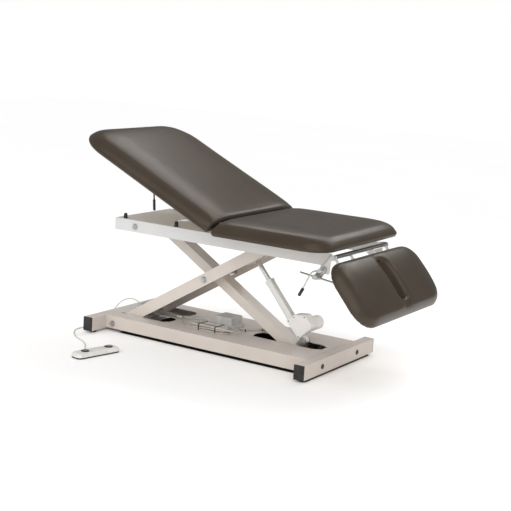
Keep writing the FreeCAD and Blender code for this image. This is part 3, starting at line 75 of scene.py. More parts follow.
def clouds(tree, scale, detail=3.0, stretch=(1.0, 1.0, 1.0), rough=0.5):
    """Soft noise on the piece's own coordinates: scale is spots to the metre, stretch draws them out."""
    place = tree.nodes.new("ShaderNodeTexCoord")
    mapping = tree.nodes.new("ShaderNodeMapping")
    mapping.inputs["Scale"].default_value = stretch
    noise = tree.nodes.new("ShaderNodeTexNoise")
    noise.inputs["Scale"].default_value = scale
    noise.inputs["Detail"].default_value = detail
    noise.inputs["Roughness"].default_value = rough
    tree.links.new(place.outputs["Object"], mapping.inputs["Vector"])
    tree.links.new(mapping.outputs["Vector"], noise.inputs["Vector"])
    return noise.outputs["Fac"]


def blend_of(tree, pattern, low, high, stops=(0.35, 0.65)):
    """Colour that goes from low to high as the pattern rises between the two stops."""
    ramp = tree.nodes.new("ShaderNodeValToRGB")
    ramp.color_ramp.elements[0].position, ramp.color_ramp.elements[1].position = stops
    ramp.color_ramp.elements[0].color = (*low, 1.0)
    ramp.color_ramp.elements[1].color = (*high, 1.0)
    tree.links.new(pattern, ramp.inputs["Fac"])
    return ramp.outputs["Color"]


def soft_light(name, place, aim, size, power):
    """Rectangular soft light at a place, turned towards what it lights."""
    lamp = bpy.data.lights.new(name, "AREA")
    lamp.shape = "RECTANGLE"
    lamp.size, lamp.size_y = size
    lamp.energy = power
    made = bpy.data.objects.new(name, lamp)
    made.location = place
    made.rotation_euler = (Vector(aim) - Vector(place)).to_track_quat("-Z", "Y").to_euler()
    made.visible_camera = False
    bpy.context.scene.collection.objects.link(made)


near_shoulder, seat_middle = (-0.3, -0.2, 0.75), (0.1, 0.0, 0.75)
strip = (4.4, 0.30)
soft_light("back_strip", (-0.3, 2.1, 2.9), near_shoulder, strip, 19.0)
soft_light("top_strip", (-0.3, 1.5, 3.1), near_shoulder, strip, 17.0)
soft_light("far_box", (0.1, 3.3, 2.8), seat_middle, (1.6, 0.5), 14.0)
key = bpy.data.lights.new("key", "SUN")
key.energy = 1.45
key.angle = np.radians(70.0)
key_place = bpy.data.objects.new("key", key)
key_place.rotation_euler = Vector((-0.45, 1.0, -0.85)).to_track_quat("-Z", "Y").to_euler()
bpy.context.scene.collection.objects.link(key_place)

# The sky lights the table softly, shows weaker in its reflections, and looks plain white behind it.
sky = bpy.data.worlds.new("studio")
sky.use_nodes = True
sky_tree = sky.node_tree
ray = sky_tree.nodes.new("ShaderNodeLightPath")
glow = sky_tree.nodes["Background"]
dim = sky_tree.nodes.new("ShaderNodeBackground")
backdrop = sky_tree.nodes.new("ShaderNodeBackground")
for lit, colour, strength in ((glow, (1.0, 1.0, 1.0), 0.76), (dim, (1.0, 0.985, 0.96), 0.24),
                              (backdrop, (1.0, 1.0, 1.0), 1.0)):
    lit.inputs["Color"].default_value = (*colour, 1.0)
    lit.inputs["Strength"].default_value = strength
chosen = glow.outputs["Background"]
for question, answer in (("Is Glossy Ray", dim), ("Is Camera Ray", backdrop)):
    choice = sky_tree.nodes.new("ShaderNodeMixShader")
    sky_tree.links.new(ray.outputs[question], choice.inputs["Fac"])
    sky_tree.links.new(chosen, choice.inputs[1])
    sky_tree.links.new(answer.outputs["Background"], choice.inputs[2])
    chosen = choice.outputs["Shader"]
sky_tree.links.new(chosen, sky_tree.nodes["World Output"].inputs["Surface"])
bpy.context.scene.world = sky
bpy.context.scene.view_settings.view_transform = "Standard"

floor_white, floor_tree, floor_shader = finish("floor_white", 0.8)
floor_tree.links.new(blend_of(floor_tree, clouds(floor_tree, 0.8), (0.98, 0.98, 0.98), (0.99, 0.99, 0.99)),
                     floor_shader.inputs["Base Color"])
floor_shader.inputs["Specular IOR Level"].default_value = 0.1
# Painted shade: a near-black floor under the deck and a dark lip below its far skirt stand for the shade
# there.
floor_shade, shade_tree, shade_shader = finish("floor_shade", 0.9)
shade = blend_of(shade_tree, clouds(shade_tree, 3.0), (0.015, 0.014, 0.013), (0.022, 0.021, 0.020))
shade_tree.links.new(shade, shade_shader.inputs["Base Color"])
wide = 14.0     # half the white floor's width
rear, front, side = -1.215, -0.035, 0.236   # the deck's outline inside its skirts
lift, skirt_foot = 0.0003, 0.029            # the shaded floor lies just above the white one
corners = [(-wide, -wide, 0), (wide, -wide, 0), (wide, wide, 0), (-wide, wide, 0),
           (rear, -side, lift), (front, -side, lift), (front, side, lift), (rear, side, lift),
           (rear, side, skirt_foot), (front, side, skirt_foot)]
ground = bpy.data.meshes.new("studio_floor")
ground.from_pydata(corners, [], [(0, 1, 2, 3), (4, 5, 6, 7), (7, 6, 9, 8)])
ground.materials.append(floor_white)
ground.materials.append(floor_shade)
ground.polygons.foreach_set("material_index", np.array([0, 1, 1]))
studio_floor = bpy.data.objects.new("studio_floor", ground)
bpy.context.scene.collection.objects.link(studio_floor)


# Floor beams and base deck: welded and folded steel sheet, powder coated in a warm greige.
# The coat has a fine orange peel, and the faces that look up go paler and greyer.
def dress(material, *nodes):
    """Gives modelled parts their finish."""
    for node in nodes:
        for face_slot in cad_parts[node].material_slots:
            face_slot.material = material


def span(tree, pattern, low, high, source=(0.3, 0.7)):
    """Number that goes from low to high as the pattern goes through the source range."""
    mapped = tree.nodes.new("ShaderNodeMapRange")
    mapped.inputs["From Min"].default_value, mapped.inputs["From Max"].default_value = source
    mapped.inputs["To Min"].default_value, mapped.inputs["To Max"].default_value = low, high
    tree.links.new(pattern, mapped.inputs["Value"])
    return mapped.outputs["Result"]


def relief(tree, shader, pattern, height, onto=None):
    """Raises the surface by the pattern times height, in metres, on top of any relief already there."""
    bump = tree.nodes.new("ShaderNodeBump")
    bump.inputs["Distance"].default_value = height
    tree.links.new(pattern, bump.inputs["Height"])
    if onto is not None:
        tree.links.new(onto, bump.inputs["Normal"])
    tree.links.new(bump.outputs["Normal"], shader.inputs["Normal"])
    return bump.outputs["Normal"]


def upward(tree):
    """How far a face looks up: 1 on a level top, 0 on a wall."""
    facing = tree.nodes.new("ShaderNodeNewGeometry")
    split = tree.nodes.new("ShaderNodeSeparateXYZ")
    tree.links.new(facing.outputs["True Normal"], split.inputs["Vector"])
    return split.outputs["Z"]


def mixed(tree, share, low, high):
    """Colour between two others, by a share from 0 to 1."""
    mix = tree.nodes.new("ShaderNodeMix")
    mix.data_type = "RGBA"
    tree.links.new(share, mix.inputs["Factor"])
    for side, colour in ((mix.inputs[6], low), (mix.inputs[7], high)):
        if isinstance(colour, tuple):
            side.default_value = (*colour, 1.0)
        else:
            tree.links.new(colour, side)
    return mix.outputs[2]


def powder_coat(name, deep, bright, top_tone):
    """Baked powder: two near tones in broad clouds, a top tone on the faces that look up (on the arms a
    darker one, painted shade), orange peel and small pits.
    """
    made, tree, shader = finish(name, 0.33)
    tone = blend_of(tree, clouds(tree, 7.0, 5.0), deep, bright, (0.3, 0.7))
    top_share = span(tree, upward(tree), 0.0, 0.55, (0.4, 1.0))
    tree.links.new(mixed(tree, top_share, tone, top_tone), shader.inputs["Base Color"])
    tree.links.new(span(tree, clouds(tree, 24.0, 5.0), 0.28, 0.42), shader.inputs["Roughness"])
    peel = relief(tree, shader, clouds(tree, 620.0, 2.0), 0.00004)
    relief(tree, shader, clouds(tree, 2600.0, 1.0), 0.00001, peel)
    shader.inputs["Coat Weight"].default_value = 0.25
    shader.inputs["Coat Roughness"].default_value = 0.25
    return made


greige = powder_coat("greige_coat", (0.54, 0.480, 0.430), (0.58, 0.52, 0.467), (0.60, 0.57, 0.54))
dress(greige, "front_beam", "rear_beam", "deck_tray", "base_roller_tracks")


# Beam ends and plugs: black polythene caps knocked into the tube. Below, a rubber runner under the front
# beam and two feet under the rear one; four bumpers of the same rubber carry the backrest when it is flat.
def moulded(name, deep, bright, roughness, texture=0.00006, speckle=900.0):
    """Moulded plastic or rubber: a spark-eroded texture, slight clouding and rubbed patches."""
    made, tree, shader = finish(name, roughness)
    tree.links.new(blend_of(tree, clouds(tree, 30.0, 4.0), deep, bright), shader.inputs["Base Color"])
    tree.links.new(span(tree, clouds(tree, 70.0, 4.0), roughness - 0.08, roughness + 0.1),
                   shader.inputs["Roughness"])
    relief(tree, shader, clouds(tree, speckle, 3.0), texture)
    return made


black_plastic = moulded("black_plastic", (0.010, 0.010, 0.009), (0.020, 0.019, 0.018), 0.42)
black_rubber = moulded("black_rubber", (0.012, 0.011, 0.010), (0.024, 0.023, 0.021), 0.72, 0.00015, 500.0)
dress(black_plastic, "beam_caps")
dress(black_rubber, "base_feet", "backrest_bumpers")


# Bolts, shafts and sleeves: turned steel, zinc plated, slightly clouded and bluish where it is bright.
# The rollers that turn on the two axles are pale nylon.
def plated(name, deep, bright, roughness, wear=0.08):
    """Plated or polished metal: cloudy tint, rubbed patches and fine turning marks."""
    made, tree, shader = finish(name, roughness, 1.0)
    tree.links.new(blend_of(tree, clouds(tree, 60.0, 4.0), deep, bright), shader.inputs["Base Color"])
    tree.links.new(span(tree, clouds(tree, 150.0, 4.0), roughness - wear / 2, roughness + wear),
                   shader.inputs["Roughness"])
    relief(tree, shader, clouds(tree, 1800.0, 2.0), 0.00002)
    return made


zinc = plated("zinc_plate", (0.48, 0.47, 0.46), (0.62, 0.62, 0.63), 0.36)
dress(zinc, "base_pivot_shaft", "frame_pivot_shaft", "crossing_bolt", "lower_roller_axle",
      "upper_roller_axle", "drive_clevis", "ear_bolts", "spring_anchor")
nylon = moulded("roller_nylon", (0.66, 0.65, 0.60), (0.74, 0.73, 0.69), 0.38)
dress(nylon, "lower_roller_near", "lower_roller_far", "upper_roller_near", "upper_roller_far")


# Lift arms: an outer folded channel and an inner tube that passes through it, coated like the base.
# They cross at one bolt; the outer one turns on a shaft in the base, the inner one on a shaft in the frame.
# Painted shade: on the arms the faces that look up go darker and browner, standing for the shade and dark
# reflection of the cushions above them.
arm_coat = powder_coat("arm_coat", (0.61, 0.55, 0.495), (0.66, 0.60, 0.54), (0.54, 0.49, 0.45))
dress(arm_coat, "outer_arm", "inner_arm", "rod_lugs")


# Lift drive: off-white moulded gear housing and motor cover, satin aluminium guide, plated sliding tube.
# It is pinned between the clevis at the inner arm's foot and two lugs inside the outer arm.
def drawn_metal(name, deep, bright, roughness, along):
    """Lacquered satin metal with fine streaks drawn along one line."""
    made, tree, shader = finish(name, roughness, 0.35)
    streaks = clouds(tree, 240.0, 4.0, along)
    tree.links.new(blend_of(tree, streaks, deep, bright), shader.inputs["Base Color"])
    tree.links.new(span(tree, streaks, roughness - 0.03, roughness + 0.04), shader.inputs["Roughness"])
    relief(tree, shader, streaks, 0.000008)
    return made


drive_white = moulded("drive_white", (0.82, 0.81, 0.79), (0.85, 0.84, 0.82), 0.34)
guide_satin = drawn_metal("guide_satin", (0.77, 0.76, 0.74), (0.80, 0.79, 0.77), 0.24, (0.15, 4.0, 0.15))
slide_bright = plated("slide_bright", (0.66, 0.66, 0.66), (0.80, 0.80, 0.80), 0.18)
dress(drive_white, "drive_housing", "drive_motor")
dress(guide_satin, "drive_guide_tube")
dress(slide_bright, "drive_slide")


# Screws of the gear housing: four small blackened pan heads with a round recess, driven into the case's
# near side, where they hold its cover.
def lofted(name, rings, closed):
    """Mesh through rings of equal count: closed joins the last ring to the first, otherwise both ends are
    capped."""
    levels, count = rings.shape[:2]
    index = np.arange(levels * count).reshape(levels, count)
    if closed:
        index = np.vstack((index, index[:1]))
    along = np.roll(index, -1, axis=1)
    faces = np.stack((index[:-1], along[:-1], along[1:], index[1:]), axis=-1).reshape(-1, 4).tolist()
    if not closed:
        faces += [index[0][::-1].tolist(), index[-1].tolist()]
    mesh = bpy.data.meshes.new(name)
    mesh.from_pydata(rings.reshape(-1, 3).tolist(), [], faces)
    mesh.update()
    made = bpy.data.objects.new(name, mesh)
    bpy.context.scene.collection.objects.link(made)
    return made


def turned(name, section, place, axis, material, body, sides=24):
    """Solid of revolution about an axis from a place: section rows are height along the axis, and radius,
    which is kept above a hair's breadth so that the ends can be capped."""
    heights, radii = np.array(section).T
    angle = np.linspace(0.0, 2 * np.pi, sides, endpoint=False)
    ring = np.stack((np.cos(angle), np.sin(angle)))
    rings = np.stack([np.column_stack((*(ring * max(radius, 1e-5)), np.full(sides, height)))
                      for height, radius in zip(heights, radii)])
    turn = np.array(Vector(axis).to_track_quat("Z", "Y").to_matrix())
    made = lofted(name, rings @ turn.T + np.array(place), False)
    made.data.materials.append(material)
    made.data.polygons.foreach_set("use_smooth", np.ones(len(made.data.polygons), bool))
    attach(made, body)
    return made


# The drive's lower pin, and the housing's own two directions: x and z in the frame
drive_pin = np.array((-0.1811, 0.1085))
drive_along = np.array((-0.6505, 0.7595))
drive_across = np.array((-0.7595, -0.6505))
case_face = -0.034
screw_section = [(-0.0004, 0.0), (-0.0004, 0.0032), (0.0007, 0.0031), (0.0014, 0.0022), (0.0016, 0.0011),
                 (0.0008, 0.0009), (0.0008, 0.0)]
screw_black = plated("screw_black", (0.03, 0.03, 0.03), (0.06, 0.06, 0.06), 0.4)
for number, (along, across) in enumerate(((31, 4), (126, 6), (126, -34), (94, -86))):
    x, z = drive_pin + (drive_along * along + drive_across * across) / 1000.0
    screw = turned(f"case_screw_{number}", screw_section, (x, case_face, z), (0, -1, 0), screw_black,
                   "drive_body")


# Control box and junction box: grey moulded housings with a fine grained face, screwed to the deck.
# The cables go in at their ends.
box_grey = moulded("box_grey", (0.42, 0.415, 0.40), (0.50, 0.495, 0.48), 0.45, 0.0001, 700.0)
dress(box_grey, "control_box", "junction_box")


# Cables on the deck: wires in light grey flexible plastic, slightly dulled by handling. The drive's lead
# carries its spare length in a tied hank; the supply lead and the two motor leads lie loose.
def sheath(name, dull, clean):
    """Smooth cable plastic: clean with duller patches, and a very fine drawn texture."""
    made, tree, shader = finish(name, 0.46)
    patches = clouds(tree, 55.0, 4.0)
    tree.links.new(blend_of(tree, patches, dull, clean), shader.inputs["Base Color"])
    tree.links.new(span(tree, patches, 0.52, 0.4), shader.inputs["Roughness"])
    relief(tree, shader, clouds(tree, 1400.0, 2.0), 0.00012)
    return made


def cable(name, route, thick, material):
    """Round cable: a smooth spline that takes the route's points as its control points."""
    curve = bpy.data.curves.new(name, "CURVE")
    curve.dimensions = "3D"
    line = curve.splines.new("NURBS")
    line.points.add(len(route) - 1)
    line.points.foreach_set("co", np.column_stack((route, np.ones(len(route)))).ravel())
    line.order_u = 3
    line.use_endpoint_u = True
    line.resolution_u = 8
    curve.bevel_depth = thick / 2
    curve.bevel_resolution = 5
    curve.use_fill_caps = True
    made = bpy.data.objects.new(name, curve)
    made.data.materials.append(material)
    bpy.context.scene.collection.objects.link(made)
    return made


def on_deck(points):
    """The frame's metres, from millimetres along from the arm's base pivot, across, and above the deck."""
    pivot_to_origin, deck_top = 1252.04, 88.0
    return (np.array(points, float) - (pivot_to_origin, 0.0, -deck_top)) / 1000.0


cable_grey = sheath("cable_grey", (0.42, 0.38, 0.34), (0.60, 0.56, 0.51))
cable_pale = sheath("cable_pale", (0.52, 0.50, 0.46), (0.66, 0.63, 0.59))
lead_thick = 0.007
lying = 3.8     # middle of a cable that lies on the deck, above it
lead_in = on_deck([(14, 20, 8), (46, 20, 8), (92, 6, lying), (150, 10, lying), (205, 2, lying),
                   (258, -10, lying), (305, -24, lying), (346, -56, lying), (378, -98, lying),
                   (408, -136, lying), (434, -154.6, lying)])


def hank_turns():
    """Points of the hank, loop by loop: each end of a loop is a half round of four points, each side a run
    with a point near both ends. Loops nest inwards and outwards by turns and climb one pitch a layer.
    The ends of the wider loops are thrown out a little more, as loose turns are."""
    layers, turns, inner, pitch = 4, 3, 12.0, 8.2
    run, short, middle = 150.0, 8.0, (560.0, -118.0)
    points = []
    left, right = middle[0] - run / 2, middle[0] + run / 2
    outer = inner + turns * pitch
    angles = np.radians((-67.5, -22.5, 22.5, 67.5))
    loose = np.random.default_rng(5).uniform(0.0, 2.0, (layers, turns, 2))
    for layer in range(layers):
        height = lying + layer * pitch
        for turn in range(turns):
            near = outer - turn * pitch if layer % 2 == 0 else inner + turn * pitch
            after = near - pitch if layer % 2 == 0 else near + pitch
            throw = 0.2 * (near - inner) + loose[layer, turn]
            before = height - pitch if turn == 0 and layer > 0 else height
            points += [(left + short, middle[1] - near, before), (right - short, middle[1] - near, height)]
            reach = near / np.cos(angles[2])
            points += [(right + throw[0] + reach * np.cos(a), middle[1] + reach * np.sin(a), height)
                       for a in angles]
            points += [(right - short, middle[1] + near, height), (left + short, middle[1] + near, height)]
            centre, reach = middle[1] + (near - after) / 2, (near + after) / 2 / np.cos(angles[2])
            points += [(left - throw[1] - reach * np.cos(a), centre - reach * np.sin(a), height)
                       for a in angles]
    points += [(left + short, middle[1] - outer, height)]
    return on_deck(points)


lead_out = on_deck([(655, -154.6, 28.7), (691, -154.6, 28.7), (722, -130, 22), (729, -92, 15),
                    (709, -58, 12), (676, -58, 12)])
drive_lead = cable("drive_lead", np.vstack((lead_in, hank_turns(), lead_out)), lead_thick, cable_grey)
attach(drive_lead, "base")
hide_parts("cable_hank", "deck_cables")

supply_route = on_deck([(14, 40, 10), (44, 40, 10), (96, 24, lying), (152, 28, lying), (206, 20, lying),
                        (260, 10, lying), (312, 2, lying), (362, 8, 4.5), (412, 4, 16), (458, -2, 22),
                        (505, -6, 16), (548, -6, 16)])
supply = cable("supply_lead", supply_route, lead_thick, cable_pale)
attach(supply, "base")
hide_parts("deck_cables")

motor_routes = [
    on_deck([(676, -10, 12), (700, -10, 12), (722, 12, 8), (742, 44, lying), (763, 68, lying),
             (786, 80, lying), (806, 80, lying)]),
    on_deck([(676, 10, 10), (697, 10, 10), (714, 30, 6), (732, 58, lying), (752, 82, lying),
             (778, 94, lying), (806, 94, lying)])]
for name, route, length in zip(("motor_lead_a", "motor_lead_b"), motor_routes, (0.169, 0.167)):
    lead = cable(name, route, lead_thick, cable_grey)
    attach(lead, "base")
    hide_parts("deck_cables")


# Dressing of the loose cables: black nylon ties pulled tight round the hank and round pairs of leads, and
# a pale in-line connector on the two left leads.
def strapped(name, place, towards, half, material):
    """Tie round a bundle: a flat band along a rounded box, half wide by half high. The box's half sizes
    are multiplied by the cosine and the sine of the angle to a power below 1, their signs kept."""
    count, power, thick, edge = 32, 0.6, 0.0012, 0.0018
    angle = np.linspace(0.0, 2 * np.pi, count, endpoint=False)
    loop = np.column_stack((np.sign(np.cos(angle)) * np.abs(np.cos(angle)) ** power * half[0],
                            np.sign(np.sin(angle)) * np.abs(np.sin(angle)) ** power * half[1]))
    outward = loop / np.linalg.norm(loop, axis=1, keepdims=True)
    rings = np.array([np.column_stack((loop + outward * lift, np.full(count, side)))
                      for lift, side in ((0.0, -edge), (thick, -edge), (thick, edge), (0.0, edge))])
    along = Vector(towards).normalized()
    across = along.cross(Vector((0, 0, 1))).normalized()
    turn = np.array((across, across.cross(along), along))
    made = lofted(name, rings @ turn + np.array(place), True)
    made.data.materials.append(material)
    made.data.polygons.foreach_set("use_smooth", np.ones(len(made.data.polygons), bool))
    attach(made, "base")


dress(black_plastic, "cable_ties")
for number, (place, wide) in enumerate((((716, -19, 9.0), 0.009), ((763, 72, 4.6), 0.017))):
    strapped(f"lead_tie_{number}", on_deck([place])[0], (1.0, 0.9, 0.0), (wide, 0.0052), black_plastic)
connector_section = [(-0.019, 0.0), (-0.019, 0.0052), (-0.016, 0.0066), (-0.002, 0.0066), (-0.0015, 0.0058),
                     (0.0015, 0.0058), (0.002, 0.0066), (0.016, 0.0066), (0.019, 0.0048), (0.019, 0.0)]
connector = turned("lead_connector", connector_section, on_deck([(283, -17.6, 7.0)])[0], (47.0, -14.0, 0.0),
                   nylon, "base", 20)


# Upper frame: folded tray with its ears, the same sheet in a cooler light grey coat. Tracks, posts, tabs,
# lug, bracket and crank are welded steel with the same coat.
cool_coat = powder_coat("cool_coat", (0.62, 0.62, 0.615), (0.66, 0.66, 0.655), (0.68, 0.685, 0.68))
dress(cool_coat, "top_frame", "frame_ears", "frame_roller_tracks", "seat_posts", "drop_tabs", "drop_lug",
      "release_bracket", "backrest_crank")


# Boards under the cushions: birch plywood with a quiet streaky grain, sawn to shape and screwed on from
# below.
plywood, ply_tree, ply_shader = finish("plywood", 0.62)
grain = clouds(ply_tree, 26.0, 8.0, (0.25, 3.0, 3.0), 0.6)
ply_tree.links.new(blend_of(ply_tree, grain, (0.50, 0.36, 0.22), (0.57, 0.43, 0.275)),
                   ply_shader.inputs["Base Color"])
relief(ply_tree, ply_shader, grain, 0.0002)
dress(plywood, "seat_board", "backrest_board", "drop_board")


# Cushions of seat and backrest: firm foam glued to each board under one sheet of dark taupe vinyl, drawn
# tight over a round shoulder and stapled in a lap under the board.
def outline(x0, x1, half, first, second, inset, shares=(1.0, 1.0)):
    """Rounded rectangle drawn in by inset, or by a share of it at either end: four quarter rounds, joined
    by straight sides. The two ends' radii shrink with the inset, down to a least one."""
    round_points, side_points, least = 17, 40, 0.008
    start, end = max(first - inset, least), max(second - inset, least)
    x0, x1 = x0 + inset * shares[0], x1 - inset * shares[1]
    quarters = []
    for x, y, radius, turn in ((x1 - end, -half + inset + end, end, -90),
                               (x1 - end, half - inset - end, end, 0),
                               (x0 + start, half - inset - start, start, 90),
                               (x0 + start, -half + inset + start, start, 180)):
        angle = np.radians(turn + np.linspace(0.0, 90.0, round_points))
        quarters.append(np.column_stack((x + radius * np.cos(angle), y + radius * np.sin(angle))))
    steps = np.linspace(0.0, 1.0, side_points + 2)[1:-1, None]
    sides = [a[-1] * (1 - steps) + b[0] * steps for a, b in zip(quarters, quarters[1:] + quarters[:1])]
    return np.vstack([part for pair in zip(quarters, sides) for part in pair])


def at_height(flat, height):
    """Flat outline points, all at one height."""
    return np.column_stack((flat, np.full(len(flat), height)))


def points_of(mesh):
    """The mesh's points as one array."""
    flat = np.zeros(len(mesh.vertices) * 3)
    mesh.vertices.foreach_get("co", flat)
    return flat.reshape(-1, 3)


lap = 0.0012            # the stapled vinyl stands this far below the cushion's bottom
shoulder_foot = 0.014   # where the side rolls over, above the bottom
shoulder_rise = 0.022   # from there to the flat top


def shoulder(bottom):
    """Section of a cushion's edge, from inside the board, out under it, up and over to the flat top: insets
    from the outline, and heights. The side leans out by a few millimetres to the shoulder's foot, where a
    quarter ellipse begins: the run times one less the cosine inwards, the rise times the sine upwards."""
    run = 0.050
    turn = np.linspace(0.0, np.pi / 2, 12)
    inset = np.concatenate(([0.046, 0.042, 0.036, 0.020, 0.008, 0.004, 0.0015], run * (1 - np.cos(turn))))
    height = np.concatenate(([bottom + rise for rise in (0.008, 0.001, -lap, -lap, -lap, 0.004, 0.010)],
                             bottom + shoulder_foot + shoulder_rise * np.sin(turn)))
    return inset, height


def crowned(points, x0, x1, half, bottom, power, ends=(1.0, 1.0), crown=0.044):
    """Rolls the foam over towards its edges: crown times the root of 1 - q squared, where q grows from 0 on
    the flat to 1 at the edge within roll, joined at the corners by a sum of powers and scaled by ends at
    either end; nothing at the shoulder's foot, all of it on the top."""
    roll = 0.22
    reach = min(roll, (x1 - x0) / 2)
    near = np.maximum(np.clip(1 - (points[:, 0] - x0) / reach, 0.0, 1.0) * ends[0],
                      np.clip(1 - (x1 - points[:, 0]) / reach, 0.0, 1.0) * ends[1])
    side = np.clip(1 - (half - np.abs(points[:, 1])) / roll, 0.0, 1.0)
    fall = np.minimum((near ** power + side ** power) ** (1 / power), 1.0)
    share = np.clip((points[:, 2] - bottom - shoulder_foot) / shoulder_rise, 0.0, 1.0)
    out = points.copy()
    out[:, 2] += crown * np.sqrt(1 - fall ** 2) * share
    return out


def swollen(cushion, bottom, travel=0.0015, voxel=0.008):
    """Even mesh, then a cloth cover blown up a little over the foam: each point moves at most travel, and
    the vinyl's lowest strip stays where it is stapled."""
    scene, stapled, frames = bpy.context.scene, bottom + 0.012, 20
    even = cushion.modifiers.new("even", "REMESH")
    even.mode = "VOXEL"
    even.voxel_size = voxel
    remeshed = cushion.evaluated_get(bpy.context.evaluated_depsgraph_get())
    cushion.data = bpy.data.meshes.new_from_object(remeshed)
    cushion.modifiers.clear()
    before = points_of(cushion.data)
    held = cushion.vertex_groups.new(name="held")
    held.add(np.flatnonzero(before[:, 2] < stapled).tolist(), 1.0, "REPLACE")
    cover = cushion.modifiers.new("cover", "CLOTH")
    cover.settings.quality = 4
    cover.settings.mass = 0.4
    cover.settings.tension_stiffness = cover.settings.compression_stiffness = 20.0
    cover.settings.bending_stiffness = 2.0
    cover.settings.use_pressure = True
    cover.settings.uniform_pressure_force = 4.0
    cover.settings.vertex_group_mass = "held"
    cover.settings.effector_weights.gravity = 0.0
    cover.collision_settings.use_collision = False
    calm = cushion.modifiers.new("calm", "SMOOTH")
    calm.factor = 0.5
    calm.iterations = 60
    for step in range(1, frames + 1):
        scene.frame_set(step)
    covered = cushion.evaluated_get(bpy.context.evaluated_depsgraph_get())
    blown = bpy.data.meshes.new_from_object(covered)
    move = points_of(blown) - before
    length = np.maximum(np.linalg.norm(move, axis=1, keepdims=True), 1e-9)
    before = before + move * np.minimum(1.0, travel / length)
    cushion.modifiers.clear()
    cushion.vertex_groups.clear()
    bpy.data.meshes.remove(blown)
    scene.frame_set(1)
    return before


def placed(cushion, points, bottom, hinge, degrees, material):
    """Puts the worked points back, levels the stapled lap, swings the cushion about its hinge and finishes
    it."""
    points[:, 2] = np.where(points[:, 2] < bottom + lap, bottom - lap, points[:, 2])
    angle = np.radians(degrees)
    away = points - (hinge[0], 0.0, hinge[1])
    points = np.column_stack((hinge[0] + away[:, 0] * np.cos(angle) - away[:, 2] * np.sin(angle),
                              points[:, 1],
                              hinge[1] + away[:, 0] * np.sin(angle) + away[:, 2] * np.cos(angle)))
    cushion.data.vertices.foreach_set("co", points.ravel())
    cushion.data.polygons.foreach_set("use_smooth", np.ones(len(cushion.data.polygons), bool))
    cushion.data.materials.clear()
    cushion.data.materials.append(material)
    cushion.data.update()
    smooth = cushion.modifiers.new("smooth", "SUBSURF")
    smooth.levels = smooth.render_levels = 1


def vinyl_cover(name):
    """Upholstery vinyl: small pressed cells over soft creases, satin, its tone drifting a little, and
    painted shade that darkens it nearly to black deep in the folds, the crease and the slot."""
    made, tree, shader = finish(name, 0.36)
    tone = blend_of(tree, clouds(tree, 5.0, 4.0), (0.046, 0.0342, 0.0245), (0.052, 0.039, 0.0285))
    # Painted shade: ambient occlusion darkens the vinyl nearly to black in folds, in the crease between
    # cushions and in the slot.
    fold_shade = tree.nodes.new("ShaderNodeAmbientOcclusion")
    fold_shade.samples = 8
    fold_shade.inputs["Distance"].default_value = 0.05
    unshaded_share = span(tree, fold_shade.outputs["AO"], 0.0, 1.0, (0.2, 0.75))
    tree.links.new(mixed(tree, unshaded_share, (0.008, 0.0065, 0.005), tone), shader.inputs["Base Color"])
    tree.links.new(span(tree, clouds(tree, 18.0, 4.0), 0.29, 0.33), shader.inputs["Roughness"])
    place = tree.nodes.new("ShaderNodeTexCoord")
    cells = tree.nodes.new("ShaderNodeTexVoronoi")
    cells.inputs["Scale"].default_value = 620.0
    tree.links.new(place.outputs["Object"], cells.inputs["Vector"])
    creases = relief(tree, shader, clouds(tree, 170.0, 3.0), 0.00004)
    relief(tree, shader, cells.outputs["Distance"], 0.00003, creases)
    shader.inputs["Specular IOR Level"].default_value = 0.3
    shader.inputs["Specular Tint"].default_value = (1.0, 0.92, 0.80, 1.0)
    return made


vinyl = vinyl_cover("taupe_vinyl")


def plain_cushion(name, x0, x1, half, first, second, bottom, shares):
    """Full pad: the edge's section carried round the outline, and a flat top. Where it meets another
    cushion the insets shrink to a share, for a tighter crease."""
    inset, height = shoulder(bottom)
    rings = [at_height(outline(x0, x1, half, first, second, i, shares), h) for i, h in zip(inset, height)]
    return lofted(name, np.array(rings), False)


rear, front, half, bottom = -0.5180, 0.1320, 0.431, 0.656
seat = plain_cushion("seat_pad", rear, front, half, 0.011, 0.125, bottom, (0.5, 1.0))
shape = crowned(swollen(seat, bottom), rear, front, half, bottom, 3.1, (0.5, 1.0))
placed(seat, shape, bottom, (0.0, 0.0), 0.0, vinyl)
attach(seat, "upper_frame")
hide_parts("seat_cushion")

rear, front, half, bottom = -1.4670, -0.5200, 0.430, 0.660
backrest = plain_cushion("backrest_pad", rear, front, half, 0.174, 0.011, bottom, (1.0, 0.5))
shape = crowned(swollen(backrest, bottom), rear, front, half, bottom, 2.2, (1.0, 0.5))
placed(backrest, shape, bottom, (-0.51904, 0.708), -24.5, vinyl)
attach(backrest, "backrest")
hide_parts("backrest_cushion")


# Drop section's cushion: the same make round a long breathing slot, whose vinyl runs down the slot's wall.
# The cover is pleated where it goes round the corners.
def slotted_cushion(name, x0, x1, half, corner, bottom, shares, slot_ends, slot_half):
    """Pad with a slot: rings go from the outline over the top to the slot's outline, round over its lip,
    which is drawn down a little, run down its wall and come back inside the board."""
    inset, height = shoulder(bottom)

    def slot_ring(grow, level):
        """The slot's outline at one height, widened by grow."""
        rounding = slot_half * 0.92 + grow
        flat = outline(slot_ends[0] - grow, slot_ends[1] + grow, slot_half + grow, rounding, rounding, 0.0)
        return at_height(flat, level)

    rings = [at_height(outline(x0, x1, half, corner, corner, i, shares), h) for i, h in zip(inset, height)]
    lip_start, lip_width, lip_depth = 0.017, 0.016, 0.014
    turn = np.linspace(0.0, np.pi / 2, 8)
    rings += [slot_ring(lip_start - lip_width * np.sin(a), height[-1] - lip_depth * (1 - np.cos(a)))
              for a in turn]
    wall_and_lap = ((-0.0016, 0.014), (-0.0016, 0.006), (-0.0016, -lap), (0.007, -lap), (0.016, -lap),
                    (0.020, 0.008))
    rings += [slot_ring(grow, bottom + rise) for grow, rise in wall_and_lap]
    return lofted(name, np.array(rings), True)


